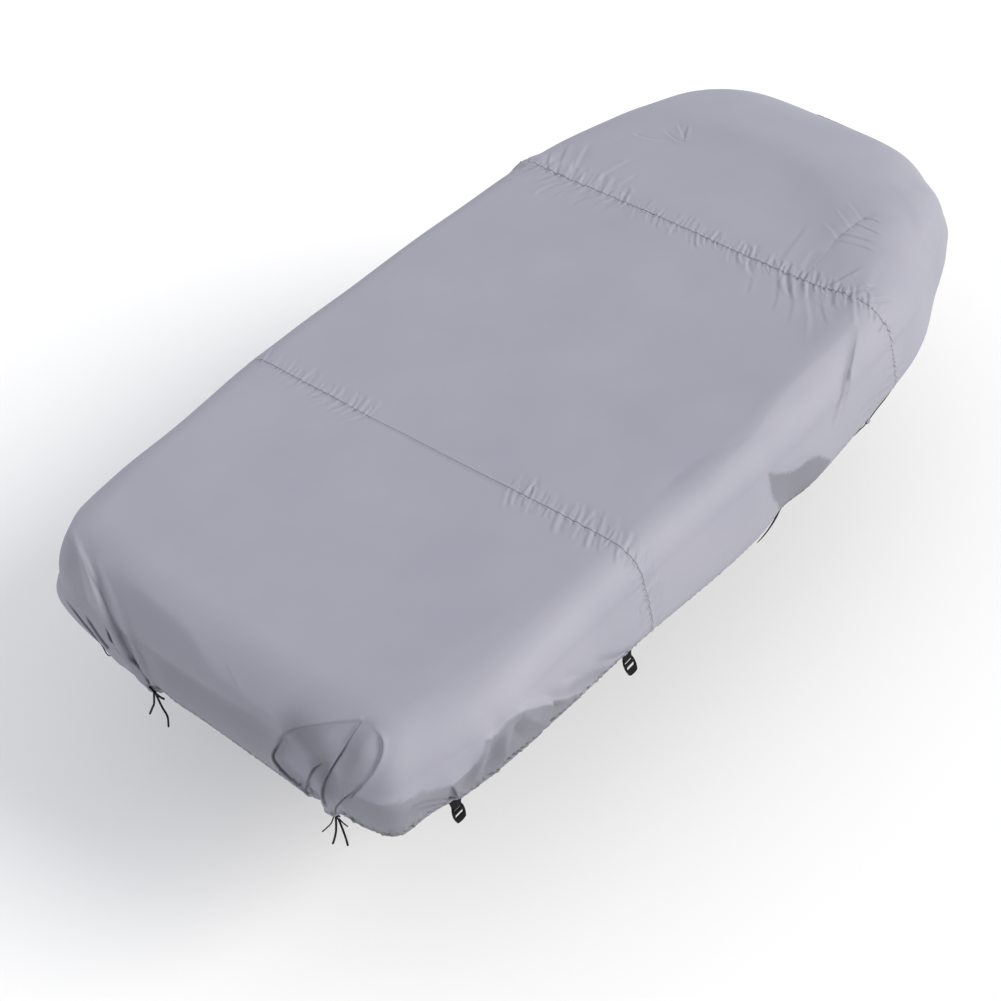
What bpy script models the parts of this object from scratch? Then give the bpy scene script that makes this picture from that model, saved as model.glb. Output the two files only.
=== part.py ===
"""Fitted storage cover for a small square-bowed boat: three coated polyester panels joined by
two cross seams, webbing tabs with slide buckles, hem straps, stern ties and the hem drawcord.

Metres. +X points to the bow, +Y to port, +Z up. The origin is the point of the boat that
holds the cover up: under the top, on the centreline.
"""
import math
from collections import namedtuple

import bmesh
import bpy
import numpy as np
from mathutils import Matrix, Vector

# ---------------------------------------------------------------- driving dimensions
SHEET = 0.002            # panel cloth
HEM_THICK = 0.006        # turned hem with its drawcord channel
CONTACT_GAP = 0.0003     # between pieces that touch
MID_SEAM_X = -0.545
FORE_SEAM_X = 0.740

WEB_THICK = 0.0018
TAB_WIDTH = 0.042        # at the hem
TAB_NECK = 0.032         # where it goes round the buckle's bar
TAB_DROP = 0.030         # from the hem down to that bar
BUCKLE_WIDTH = 0.046
BUCKLE_HEIGHT = 0.058
BUCKLE_THICK = 0.006
BUCKLE_BAR = 0.006       # the top bar that carries the tab
SLOT_WIDTH = 0.034
TAB_SLOT = 0.0085
STRAP_SLOT = 0.0110
CENTRE_BAR = 0.0100
BUCKLE_TAPER = 0.24      # how much narrower its rounded ends are than its middle
TOP_CROWN = 0.0012       # how far the plate's ends bow outwards
BOTTOM_CROWN = 0.004
EDGE_ROUND = 0.0012
STRAP_WIDTH = 0.015
TIE_CORD = 0.0065
THIN_CORD = 0.004
DRAW_CORD = 0.0036
KNOT_RING = 0.0072       # trefoil through the tie's knot
KNOT_WAVE = 0.0037
KNOT_CORD = 0.0060
STOPPER_LENGTH = 0.018
STOPPER_WIDTH = 0.015
STOPPER_BORE = 0.0048

# Faces along each panel, across the top and down the skirt.
STERN_ROWS, MID_ROWS, BOW_ROWS = 19, 14, 13
ACROSS = 20
RINGS = 10
FOLD_EDGE = 0.012        # half-width of the step at a tuck's edge
ARC_SHARE = 0.5          # share of the rings that lie on the rounded edge
CORNER_CROWDING = 0.055  # how much closer the faces stand near the stern corners

# The outline, anticlockwise from the starboard stern corner. "top" is where the flat top
# begins to round over, "rim" the widest line of the skirt, "drop" the height of the rounded
# edge, "depth" the hem's depth below the top, "flare" how far the skirt leans out between
# the two, "turn" the height above the hem where it starts to turn in, by "tuck" at the hem.
Section = namedtuple("Section", "place top_x top_y rim_x rim_y drop depth flare turn tuck")
SECTIONS = [Section(*row) for row in (
    ("corner", -1.385, -0.590, -1.545, -0.690, 0.150, 0.356, 0.025, 0.11, 0.030),
    ("side",   -1.270, -0.640, -1.440, -0.742, 0.130, 0.338, 0.020, 0.12, 0.046),
    ("side",   -1.120, -0.665, -1.230, -0.800, 0.105, 0.350, 0.015, 0.19, 0.048),
    ("side",   -0.860, -0.692, -0.900, -0.818, 0.100, 0.345, 0.020, 0.13, 0.036),
    ("seam",   -0.545, -0.705, -0.545, -0.832, 0.100, 0.332, 0.025, 0.06, 0.028),
    ("side",   -0.150, -0.712, -0.150, -0.856, 0.100, 0.350, 0.025, 0.06, 0.030),
    ("side",    0.260, -0.705,  0.270, -0.864, 0.105, 0.345, 0.025, 0.07, 0.030),
    ("seam",    0.740, -0.670,  0.740, -0.835, 0.120, 0.320, 0.025, 0.05, 0.025),
    ("side",    0.900, -0.600,  0.960, -0.796, 0.150, 0.310, 0.025, 0.04, 0.020),
    ("side",    1.020, -0.545,  1.180, -0.705, 0.170, 0.300, 0.025, 0.03, 0.020),
    ("side",    1.110, -0.495,  1.370, -0.625, 0.170, 0.290, 0.025, 0.03, 0.020),
    ("corner",  1.190, -0.420,  1.530, -0.505, 0.155, 0.255, 0.025, 0.03, 0.018),
    ("bow",     1.240, -0.280,  1.600, -0.310, 0.095, 0.132, 0.020, 0.02, 0.008),
    ("bow",     1.275,  0.000,  1.617,  0.000, 0.074, 0.096, 0.030, 0.01, 0.003),
    ("bow",     1.240,  0.280,  1.620,  0.310, 0.088, 0.125, 0.020, 0.02, 0.006),
    ("corner",  1.190,  0.420,  1.560,  0.512, 0.125, 0.245, 0.025, 0.03, 0.018),
    ("side",    1.110,  0.495,  1.375,  0.620, 0.140, 0.290, 0.025, 0.04, 0.020),
    ("side",    1.020,  0.550,  1.185,  0.690, 0.140, 0.300, 0.025, 0.04, 0.020),
    ("side",    0.900,  0.595,  0.960,  0.755, 0.130, 0.310, 0.025, 0.04, 0.020),
    ("seam",    0.740,  0.630,  0.740,  0.776, 0.115, 0.320, 0.025, 0.05, 0.020),
    ("side",    0.260,  0.690,  0.270,  0.799, 0.105, 0.330, 0.025, 0.06, 0.020),
    ("side",   -0.150,  0.698, -0.150,  0.810, 0.100, 0.335, 0.025, 0.06, 0.020),
    ("seam",   -0.545,  0.695, -0.545,  0.826, 0.100, 0.335, 0.025, 0.06, 0.020),
    ("side",   -0.860,  0.680, -0.900,  0.802, 0.100, 0.335, 0.025, 0.06, 0.020),
    ("side",   -1.120,  0.665, -1.190,  0.797, 0.105, 0.335, 0.025, 0.06, 0.020),
    ("side",   -1.270,  0.640, -1.418,  0.748, 0.130, 0.322, 0.025, 0.08, 0.044),
    ("corner", -1.350,  0.560, -1.536,  0.658, 0.170, 0.314, 0.025, 0.10, 0.052),
    ("stern",  -1.375,  0.350, -1.568,  0.380, 0.150, 0.318, 0.025, 0.05, 0.014),
    ("stern",  -1.380,  0.000, -1.575,  0.000, 0.170, 0.315, 0.025, 0.05, 0.012),
    ("stern",  -1.385, -0.350, -1.583, -0.370, 0.170, 0.320, 0.025, 0.05, 0.010),
    ("stern",  -1.390, -0.490, -1.580, -0.510, 0.160, 0.328, 0.025, 0.06, 0.012),
)]

# Folds and tucks. A route starts at its strongest end and fades towards its last point; seen
# along the route from outside, each side has its own reach and its own lift (a sink when
# negative), so that unequal sides make a tuck's edge.
Fold = namedtuple("Fold", "name route left_reach left_lift right_reach right_lift")
FOLDS = [Fold(*row) for row in (
    ("starboard lobe, aft edge",
     ((-1.582, -0.391, -0.290), (-1.583, -0.300, -0.230), (-1.556, -0.320, -0.135),
      (-1.527, -0.400, -0.070), (-1.449, -0.546, -0.012)), 0.030, 0.003, 0.070, -0.014),
    ("starboard tuck, main edge",
     ((-1.575, -0.470, -0.315), (-1.567, -0.475, -0.214), (-1.548, -0.503, -0.137),
      (-1.507, -0.537, -0.054), (-1.440, -0.552, -0.008)), 0.040, -0.010, 0.045, 0.012),
    ("starboard tuck, far edge",
     ((-1.570, -0.520, -0.315), (-1.557, -0.573, -0.207), (-1.540, -0.604, -0.156),
      (-1.517, -0.640, -0.087), (-1.455, -0.630, -0.024)), 0.040, 0.010, 0.035, -0.006),
    ("port corner, outer ridge",
     ((-1.566, 0.240, -0.300), (-1.544, 0.364, -0.146), (-1.489, 0.492, -0.046),
      (-1.447, 0.589, -0.026), (-1.400, 0.680, -0.020)), 0.040, 0.012, 0.030, -0.008),
    ("port corner, inner ridge",
     ((-1.566, 0.215, -0.300), (-1.546, 0.288, -0.148), (-1.513, 0.384, -0.065),
      (-1.450, 0.510, -0.020)), 0.030, 0.008, 0.050, -0.008),
    ("port corner, lower fold",
     ((-1.560, 0.380, -0.290), (-1.562, 0.465, -0.231), (-1.548, 0.517, -0.184),
      (-1.507, 0.556, -0.070)), 0.035, -0.008, 0.035, 0.008),
    ("starboard quarter, fold 1",
     ((-1.335, -0.752, -0.320), (-1.360, -0.750, -0.200)), 0.035, -0.004, 0.045, 0.008),
    ("starboard quarter, fold 2",
     ((-1.250, -0.775, -0.330), (-1.245, -0.785, -0.180), (-1.183, -0.771, -0.085)),
     0.035, 0.010, 0.050, -0.010),
    ("starboard quarter, fold 3",
     ((-1.170, -0.775, -0.330), (-1.150, -0.790, -0.180), (-1.095, -0.784, -0.110)),
     0.035, 0.008, 0.060, -0.010),
    ("starboard quarter, fold 4",
     ((-1.000, -0.790, -0.330), (-0.985, -0.804, -0.190), (-1.080, -0.790, -0.110)),
     0.045, 0.010, 0.050, -0.008),
    ("starboard bow, sunk hem",
     ((0.120, -0.850, -0.330), (0.160, -0.860, -0.150)), 0.090, -0.018, 0.100, -0.018),
    ("starboard bow, long crease",
     ((0.484, -0.821, -0.073), (0.434, -0.837, -0.131), (0.375, -0.845, -0.180)),
     0.030, 0.004, 0.030, -0.006),
    ("fore seam, port roll",
     ((0.775, 0.700, -0.030), (0.770, 0.600, 0.000), (0.775, 0.420, 0.000)),
     0.035, 0.008, 0.040, 0.008),
)]

# Broad rises and hollows of the slack top.
Swell = namedtuple("Swell", "x y reach_x reach_y lift")
SWELLS = [Swell(*row) for row in (
    (-0.60, -0.50, 0.60, 0.22, 0.008),
    (-0.55,  0.30, 0.45, 0.25, -0.006),
    ( 0.15,  0.00, 0.40, 0.45, -0.007),
    ( 0.78,  0.30, 0.15, 0.30, 0.008),
    ( 0.85, -0.45, 0.25, 0.18, -0.010),
    (-1.10,  0.10, 0.30, 0.40, 0.005),
)]


# Webbing tabs with their buckles. "tilt" leans the buckle's lower end outwards, in degrees.
Tab = namedtuple("Tab", "name x side tilt")
TABS = [Tab(*row) for row in (
    ("starboard_quarter", -1.330, -1, 14),
    ("starboard_middle",  -0.628, -1, 24),
    ("port_quarter",      -1.330,  1, 10),
    ("port_middle",       -0.628,  1, 10),
)]
LOOP_RADIUS = 0.86       # of the tab round the bar, in bar thicknesses
LOOP_SHOULDER = 2.4      # height at which its plies close, in loop radii

# Straps that hang from the hem at the forward quarters.
STRAP_X = 0.120
STRAP_FALL = (-0.100, -0.010, -0.066)
STRAP_BOW = 0.006

# Cords by the points on their routes.
Cord = namedtuple("Cord", "name diameter route")
CORDS = [Cord(*row) for row in (
    ("tie_port_wrap", TIE_CORD,
     ((-1.5746, 0.243, -0.290), (-1.5752, 0.224, -0.2985), (-1.5742, 0.207, -0.308),
      (-1.5705, 0.190, -0.314))),
    ("tie_port_short_end", TIE_CORD,
     ((-1.5748, 0.2265, -0.3023), (-1.574, 0.246, -0.367), (-1.572, 0.266, -0.404),
      (-1.572, 0.291, -0.450))),
    ("tie_port_long_end", TIE_CORD,
     ((-1.5748, 0.2190, -0.3081), (-1.574, 0.209, -0.359), (-1.572, 0.199, -0.398),
      (-1.572, 0.210, -0.453))),
    ("tie_starboard_loop", THIN_CORD,
     ((-1.5740, -0.4665, -0.3178), (-1.5735, -0.470, -0.3265), (-1.572, -0.478, -0.3325),
      (-1.5716, -0.4905, -0.3305))),
    ("tie_starboard_aft_end", TIE_CORD,
     ((-1.569, -0.5005, -0.3440), (-1.572, -0.496, -0.385), (-1.573, -0.490, -0.415),
      (-1.574, -0.476, -0.459), (-1.575, -0.466, -0.486))),
    ("tie_starboard_fore_end", TIE_CORD,
     ((-1.569, -0.5115, -0.3422), (-1.571, -0.5215, -0.380), (-1.573, -0.529, -0.411),
      (-1.574, -0.532, -0.442))),
    ("tie_starboard_aft_tail", THIN_CORD,
     ((-1.570, -0.4951, -0.3384), (-1.573, -0.484, -0.370), (-1.574, -0.471, -0.396),
      (-1.575, -0.431, -0.458))),
    ("tie_starboard_fore_tail", THIN_CORD,
     ((-1.570, -0.5141, -0.3356), (-1.571, -0.531, -0.3425), (-1.571, -0.5475, -0.345))),
    ("drawcord_port_quarter", DRAW_CORD,
     ((-1.4905, 0.634, -0.3080), (-1.506, 0.600, -0.320), (-1.519, 0.560, -0.319),
      (-1.531, 0.520, -0.3105), (-1.537, 0.497, -0.318), (-1.541, 0.482, -0.332),
      (-1.5435, 0.466, -0.330), (-1.5435, 0.452, -0.318), (-1.5470, 0.425, -0.3112),
      (-1.5520, 0.380, -0.3108), (-1.5560, 0.3495, -0.3110))),
    ("drawcord_starboard_shoulder", DRAW_CORD,
     ((1.128, -0.7072, -0.2960), (1.090, -0.727, -0.304), (1.055, -0.745, -0.311),
      (1.020, -0.760, -0.3125), (0.985, -0.768, -0.306), (0.958, -0.7763, -0.3037))),
    ("drawcord_starboard_side", DRAW_CORD,
     ((0.775, -0.8073, -0.3120), (0.745, -0.810, -0.3195), (0.710, -0.813, -0.3235),
      (0.670, -0.816, -0.324), (0.630, -0.8195, -0.327), (0.604, -0.8215, -0.3295),
      (0.578, -0.8235, -0.330), (0.550, -0.8245, -0.3265), (0.520, -0.8253, -0.3261))),
    ("drawcord_bow", DRAW_CORD,
     ((1.6225, 0.062, -0.0785), (1.6196, 0.0012, -0.079), (1.6178, -0.060, -0.0806),
      (1.6158, -0.1203, -0.0841), (1.6131, -0.1775, -0.0895), (1.6092, -0.232, -0.0971))),
)]
KNOT_CENTRE = (-1.5690, -0.5040, -0.3302)
STOPPER_CENTRE = (0.6040, -0.8215, -0.3295)
STOPPER_ALONG = (-0.052, -0.004, -0.003)
LONG_SIDE_Y = 0.55       # the long sides' hem lies further out than this


# ---------------------------------------------------------------- the cloth's surface
def smooth_loop(rows, t):
    """Catmull-Rom curve through closed rows, read at the row numbers t."""
    count = len(rows)
    base = np.floor(t).astype(int)
    f = (t - base)[:, None]
    a, b, c, d = (rows[(base + k) % count] for k in (-1, 0, 1, 2))
    return 0.5 * (2 * b + (c - a) * f + (2 * a - 5 * b + 4 * c - d) * f**2
                  + (3 * b - a - 3 * c + d) * f**3)


def smooth_route(points, per_span=6):
    """Catmull-Rom curve through an open run of points."""
    p = np.array(points, float)
    p = np.vstack([2 * p[0] - p[1], p, 2 * p[-1] - p[-2]])
    t = np.linspace(1, len(p) - 2, per_span * (len(p) - 3) + 1)
    return smooth_loop(p, np.minimum(t, len(p) - 2 - 1e-9))


def stations():
    """Outline values at every station, and the station numbers where the runs begin."""
    rows = np.array([s[1:] for s in SECTIONS], float)
    marks = [i for i, s in enumerate(SECTIONS) if s.place in ("corner", "seam")]
    marks.append(len(SECTIONS))
    side = (STERN_ROWS, MID_ROWS, BOW_ROWS)
    counts = side + (ACROSS,) + side[::-1] + (ACROSS,)
    runs = []
    for first, last, count in zip(marks[:-1], marks[1:], counts):
        dense = smooth_loop(rows, np.linspace(first, last, 400))
        steps = np.linalg.norm(np.diff(dense[:, :4], axis=0), axis=1)
        length = np.concatenate([[0], np.cumsum(steps)])
        u = np.arange(count) / count
        if count == ACROSS:
            u = u - CORNER_CROWDING * np.sin(2 * math.pi * u)
        runs.append(np.stack([np.interp(u * length[-1], length, v) for v in dense.T], 1))
    table = np.concatenate(runs)
    starts = np.concatenate([[0], np.cumsum(counts)])
    for seam_x, run_pair in ((MID_SEAM_X, (1, 6)), (FORE_SEAM_X, (2, 5))):
        for run in run_pair:
            table[starts[run], [0, 2]] = seam_x
    return table, starts


def coons(star, port, aft, fore, u):
    """Flat patch between four edges, each an array of points; u is the spacing across."""
    v = np.linspace(0, 1, len(star))[:, None, None]
    u = u[None, :, None]
    sides = (1 - u) * star[:, None] + u * port[:, None]
    ends = (1 - v) * aft[None] + v * fore[None]
    corners = ((1 - u) * (1 - v) * aft[0] + u * (1 - v) * aft[-1]
               + (1 - u) * v * fore[0] + u * v * fore[-1])
    return sides + ends - corners


def flat_top(edge, starts):
    """Plan of the top as a grid, rows from stern to bow, columns from starboard to port."""
    length = starts[3]
    star = edge[:length + 1]
    port = edge[starts[4] + length - np.arange(length + 1)]
    stern = edge[(len(edge) - np.arange(ACROSS + 1)) % len(edge)]
    bow = edge[starts[3]:starts[4] + 1]
    u = np.linspace(0, 1, ACROSS + 1)
    u = u - CORNER_CROWDING * np.sin(2 * math.pi * u)
    seams = [star[k] + (port[k] - star[k]) * u[:, None] for k in (starts[1], starts[2])]
    edges = [stern] + seams + [bow]
    cuts = (0, starts[1], starts[2], length)
    grid = np.zeros((length + 1, ACROSS + 1, 2))
    for k in range(3):
        rows = slice(cuts[k], cuts[k + 1] + 1)
        grid[rows] = coons(star[rows], port[rows], edges[k], edges[k + 1], u)
    return grid


def skirt_rings(table):
    """Closed rings of points from the top's edge down to the hem."""
    top, rim = table[:, 0:2], table[:, 2:4]
    drop, depth, flare, turn, tuck = table[:, 4:9].T
    reach = np.linalg.norm(rim - top, axis=1)
    out = (rim - top) / reach[:, None]
    rings = []
    for share in np.linspace(0, 1, RINGS + 1):
        if share <= ARC_SHARE:
            angle = share / ARC_SHARE * math.pi / 2
            away = (reach - flare) * math.sin(angle)
            z = -drop * (1 - math.cos(angle))
        else:
            down = (share - ARC_SHARE) / (1 - ARC_SHARE)
            z = -drop - (depth - drop) * down
            turn_from = 1 - turn / (depth - drop)
            lean = np.clip(down / np.maximum(turn_from, 0.05), 0, 1)
            turned = np.clip((down - turn_from) / (1 - turn_from), 0, 1)
            away = reach - flare * (1 - np.sin(lean * math.pi / 2)) - tuck * turned**1.3
        rings.append(np.column_stack([top + out * away[:, None], z]))
    return np.array(rings)


def closeness(points, normals, route):
    """Distance in the cloth from a route, which side of it, and the share along it."""
    best = np.full(len(points), np.inf)
    side = np.zeros(len(points))
    share = np.zeros(len(points))
    spans = len(route) - 1
    for k in range(spans):
        a, along = route[k], route[k + 1] - route[k]
        t = np.clip((points - a) @ along / (along @ along), 0, 1)
        away = points - (a + t[:, None] * along)
        lift = (away * normals).sum(1)
        away -= 0.85 * lift[:, None] * normals
        distance = np.linalg.norm(away, axis=1)
        nearer = distance < best
        left = np.cross(normals, along)
        left /= np.maximum(np.linalg.norm(left, axis=1, keepdims=True), 1e-9)
        best[nearer] = distance[nearer]
        side[nearer] = (away * left).sum(1)[nearer]
        share[nearer] = (k + t[nearer]) / spans
    return best, side, share


def fold_lift(points, normals, fold):
    """Height that one fold adds at each point."""
    distance, side, share = closeness(points, normals, smooth_route(fold.route))
    blend = 0.5 + 0.5 * np.tanh(side / FOLD_EDGE)
    left = fold.left_lift * np.exp(-(distance / fold.left_reach)**2)
    right = fold.right_lift * np.exp(-(distance / fold.right_reach)**2)
    return (left * blend + right * (1 - blend)) * (1 - share**2)


def swell_lift(points):
    """Height of the slack top's broad swells."""
    lift = np.zeros(len(points))
    for s in SWELLS:
        lift += s.lift * np.exp(-((points[:, 0] - s.x) / s.reach_x)**2
                                - ((points[:, 1] - s.y) / s.reach_y)**2)
    return lift


def vertex_normals(points, quads):
    """Outward unit normals, weighted by face area."""
    a, b, c, d = (points[quads[:, k]] for k in range(4))
    face = np.cross(c - a, d - b)
    normals = np.zeros_like(points)
    for k in range(4):
        np.add.at(normals, quads[:, k], face)
    return normals / np.linalg.norm(normals, axis=1, keepdims=True)


def cover_surface():
    """Outer face of the whole cover: points, quads, and each quad's panel number."""
    table, starts = stations()
    rings = skirt_rings(table)
    grid = flat_top(table[:, 0:2], starts)
    length, count = starts[3], len(table)

    number = np.zeros(grid.shape[:2], int)
    number[:, 0] = np.arange(length + 1)
    number[-1] = length + np.arange(ACROSS + 1)
    number[:, -1] = starts[4] + length - np.arange(length + 1)
    number[0] = (count - np.arange(ACROSS + 1)) % count
    inner = (length - 1) * (ACROSS - 1)
    number[1:-1, 1:-1] = rings.shape[0] * count + np.arange(inner).reshape(length - 1, -1)
    inner_points = grid[1:-1, 1:-1].reshape(-1, 2)
    points = np.vstack([rings.reshape(-1, 3), np.column_stack([inner_points, np.zeros(inner)])])

    def panel_of(row):
        return int(row >= starts[1]) + int(row >= starts[2])

    quads, panels = [], []
    for j in range(length):
        for i in range(ACROSS):
            quads.append((number[j, i], number[j + 1, i], number[j + 1, i + 1], number[j, i + 1]))
            panels.append(panel_of(j))
    for k in range(count):
        if k < starts[3]:
            panel = panel_of(k)
        elif k < starts[4]:
            panel = 2
        elif k < starts[7]:
            panel = panel_of(starts[7] - 1 - k)
        else:
            panel = 0
        for r in range(RINGS):
            here, there = r * count + k, r * count + (k + 1) % count
            quads.append((here, here + count, there + count, there))
            panels.append(panel)
    quads, panels = np.array(quads), np.array(panels)

    normals = vertex_normals(points, quads)
    lift = sum(fold_lift(points, normals, fold) for fold in FOLDS)
    lift += swell_lift(points) * np.clip(normals[:, 2], 0, 1)**2
    points = points + normals * lift[:, None]
    points[:, 2] += SHEET - swell_lift(np.zeros((1, 3)))[0]
    hem = np.zeros(len(points), bool)
    hem[(RINGS - 1) * count:(RINGS + 1) * count] = True
    return points, quads, panels, hem


# ---------------------------------------------------------------- making objects
def material(name, colour, roughness, metallic=0.0):
    """Principled material in one colour."""
    mat = bpy.data.materials.new(name)
    mat.use_nodes = True
    shader = mat.node_tree.nodes["Principled BSDF"]
    shader.inputs["Base Color"].default_value = (*colour, 1.0)
    shader.inputs["Roughness"].default_value = roughness
    shader.inputs["Metallic"].default_value = metallic
    mat.diffuse_color = (*colour, 1.0)
    return mat


def mesh_object(name, points, faces, mat, sharp_from=40):
    """Object at the world origin from points and faces."""
    mesh = bpy.data.meshes.new(name)
    mesh.from_pydata([tuple(p) for p in points], [], [tuple(f) for f in faces])
    mesh.materials.append(mat)
    mesh.shade_smooth()
    mesh.set_sharp_from_angle(angle=math.radians(sharp_from))
    thing = bpy.data.objects.new(name, mesh)
    bpy.context.collection.objects.link(thing)
    return thing


def cord(name, route, diameter, mat):
    """Round cord along a smooth curve through its route, with closed ends."""
    length = sum((Vector(b) - Vector(a)).length for a, b in zip(route[:-1], route[1:]))
    per_span = max(1, round(length / (3 * diameter) / (len(route) - 1)))
    curve = bpy.data.curves.new(name, "CURVE")
    curve.dimensions = "3D"
    curve.bevel_depth = diameter / 2
    curve.bevel_resolution = 2
    curve.use_fill_caps = True
    points = smooth_route(route, per_span)
    spline = curve.splines.new("POLY")
    spline.points.add(len(points) - 1)
    for point, place in zip(spline.points, points):
        point.co = (*place, 1.0)
    spline.use_smooth = True
    curve.materials.append(mat)
    thing = bpy.data.objects.new(name, curve)
    bpy.context.collection.objects.link(thing)
    return thing


# ---------------------------------------------------------------- panels
def panel(name, index, surface, mat):
    """One panel as a closed sheet, thicker in its turned hem and cut back a little at its seams."""
    points, quads, panels, hem = surface
    thick = np.where(hem, HEM_THICK, SHEET)[:, None]
    inner = points - vertex_normals(points, quads) * thick
    mine = quads[panels == index]
    used, faces = np.unique(mine, return_inverse=True)
    faces = faces.reshape(mine.shape)
    shared = np.isin(used, np.unique(quads[panels != index]))
    middle = points[used, 0].mean()
    step = np.zeros((len(used), 3))
    step[shared, 0] = np.where(points[used[shared], 0] > middle, -1, 1) * CONTACT_GAP / 2
    shell = np.vstack([points[used] + step, inner[used] + step])
    count = len(used)
    solid = [tuple(f) for f in faces] + [tuple(f[::-1] + count) for f in faces]
    edges = {(int(a), int(b)) for face in faces for a, b in zip(face, np.roll(face, -1))}
    for a, b in sorted(edges):
        if (b, a) not in edges:
            solid.append((b, a, a + count, b + count))
    return mesh_object(name, shell, solid, mat)


def hem_edge(surface, x, side):
    """Middle of the hem's lower edge at x, side -1 or 1, and how that edge's face slopes."""
    points, quads, _, _ = surface
    count = len(stations()[0])
    ring = slice(RINGS * count, (RINGS + 1) * count)
    normals = vertex_normals(points, quads)[ring]
    middle = points[ring] - normals * HEM_THICK / 2
    table = np.column_stack([middle, normals[:, 2] / np.abs(normals[:, 1])])
    run = table[middle[:, 1] * side > LONG_SIDE_Y]
    run = run[np.argsort(run[:, 0])]
    x_at, y_at, z_at, slope = (np.interp(x, run[:, 0], v) for v in run.T)
    return Vector((x_at, y_at, z_at)), slope


# ---------------------------------------------------------------- tabs, buckles, straps
def outward(thing):
    """Turn a closed mesh's faces so that they point outwards."""
    shape = bmesh.new()
    shape.from_mesh(thing.data)
    bmesh.ops.recalc_face_normals(shape, faces=shape.faces)
    shape.to_mesh(thing.data)
    shape.free()


def strip(name, columns, mat):
    """Closed strip through equal sections; a section's second half runs back along its first."""
    size = len(columns[0])
    points = [point for column in columns for point in column]
    faces = []
    for j in range(len(columns) - 1):
        for k in range(size):
            here = j * size + k
            there = j * size + (k + 1) % size
            faces.append((here, there, there + size, here + size))
    last = (len(columns) - 1) * size
    for k in range(size // 2 - 1):
        faces.append((k + 1, k, size - 1 - k, size - 2 - k))
        faces.append((last + k, last + k + 1, last + size - 2 - k, last + size - 1 - k))
    thing = mesh_object(name, points, faces, mat)
    outward(thing)
    return thing


def folded_section(radius, height):
    """Outline of webbing folded round a bar at (0, 0), both plies running up to the height."""
    ply = WEB_THICK / 2 + CONTACT_GAP
    shoulder = radius * LOOP_SHOULDER
    turns = np.radians(np.arange(-30, 211, 30))
    arc = [(radius * math.cos(a), -radius * math.sin(a)) for a in turns]
    path = np.array([(ply, height), (ply, shoulder)] + arc + [(-ply, shoulder), (-ply, height)])
    along = np.gradient(path, axis=0)
    along /= np.linalg.norm(along, axis=1, keepdims=True)
    left = np.column_stack([-along[:, 1], along[:, 0]])
    return np.vstack([path + left * WEB_THICK / 2, (path - left * WEB_THICK / 2)[::-1]])


def tab(name, surface, x, side, mat):
    """Folded webbing tab under the hem, narrowing to the buckle's bar; returns the bar's place."""
    hem, _ = hem_edge(surface, x, side)
    bar = Vector((hem.x, hem.y, hem.z - TAB_DROP))
    radius = BUCKLE_THICK * LOOP_RADIUS
    section = folded_section(radius, TAB_DROP - CONTACT_GAP)
    columns = []
    for step in (-1.0, -0.5, 0.0, 0.5, 1.0):
        top, slope = hem_edge(surface, x + step * TAB_WIDTH / 2, side)
        column = []
        for out, up in section:
            rise = np.clip((up - radius) / (TAB_DROP - radius), 0, 1)
            half = (TAB_NECK + (TAB_WIDTH - TAB_NECK) * rise) / 2
            column.append((x + step * half,
                           bar.y + side * out + rise**2 * (top.y - hem.y),
                           bar.z + up + rise**2 * (top.z - hem.z + slope * out)))
        columns.append(column)
    strip(name, columns, mat)
    return bar


def buckle_mesh(mat):
    """Oval slide plate with a slot for the tab and one for a strap; its top bar is at the origin."""
    top = BUCKLE_BAR / 2
    levels = [top]
    for height in (BUCKLE_BAR, TAB_SLOT, CENTRE_BAR, STRAP_SLOT):
        levels.append(levels[-1] - height)
    levels.append(top - BUCKLE_HEIGHT)
    middle = top - BUCKLE_HEIGHT / 2
    points, faces = [], []
    for row, level in enumerate(levels):
        share = (level - middle) / (BUCKLE_HEIGHT / 2)
        half = BUCKLE_WIDTH / 2 * (1 - BUCKLE_TAPER * abs(share)**3)
        crown = {0: -TOP_CROWN, len(levels) - 1: BOTTOM_CROWN}.get(row, 0)
        for x in (-half, -SLOT_WIDTH / 2, 0.0, SLOT_WIDTH / 2, half):
            points.append((x, level + crown * (x / half)**2, 0.0))
    for row in range(len(levels) - 1):
        for k in range(4):
            open_slot = row in (1, 3) and k in (1, 2)
            if not open_slot:
                here = row * 5 + k
                faces.append((here, here + 5, here + 6, here + 1))
    mesh = bpy.data.meshes.new("buckle")
    mesh.from_pydata(points, [], faces)
    mesh.materials.append(mat)
    return mesh


def buckle(name, mesh, bar, side, tilt):
    """Slide buckle hung by its top bar, its lower end leaning outwards by the tilt."""
    thing = bpy.data.objects.new(name, mesh)
    face = Matrix(((1, 0, 0), (0, 0, -1), (0, 1, 0))).to_4x4()
    lean = Matrix.Rotation(side * math.radians(tilt), 4, "X")
    thing.matrix_world = Matrix.Translation(bar) @ lean @ face
    bpy.context.collection.objects.link(thing)
    thick = thing.modifiers.new("Thickness", "SOLIDIFY")
    thick.thickness = BUCKLE_THICK
    thick.offset = 0
    soft = thing.modifiers.new("Rounded edges", "BEVEL")
    soft.width = EDGE_ROUND
    soft.segments = 2
    soft.limit_method = "ANGLE"
    soft.angle_limit = math.radians(50)
    return thing


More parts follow.
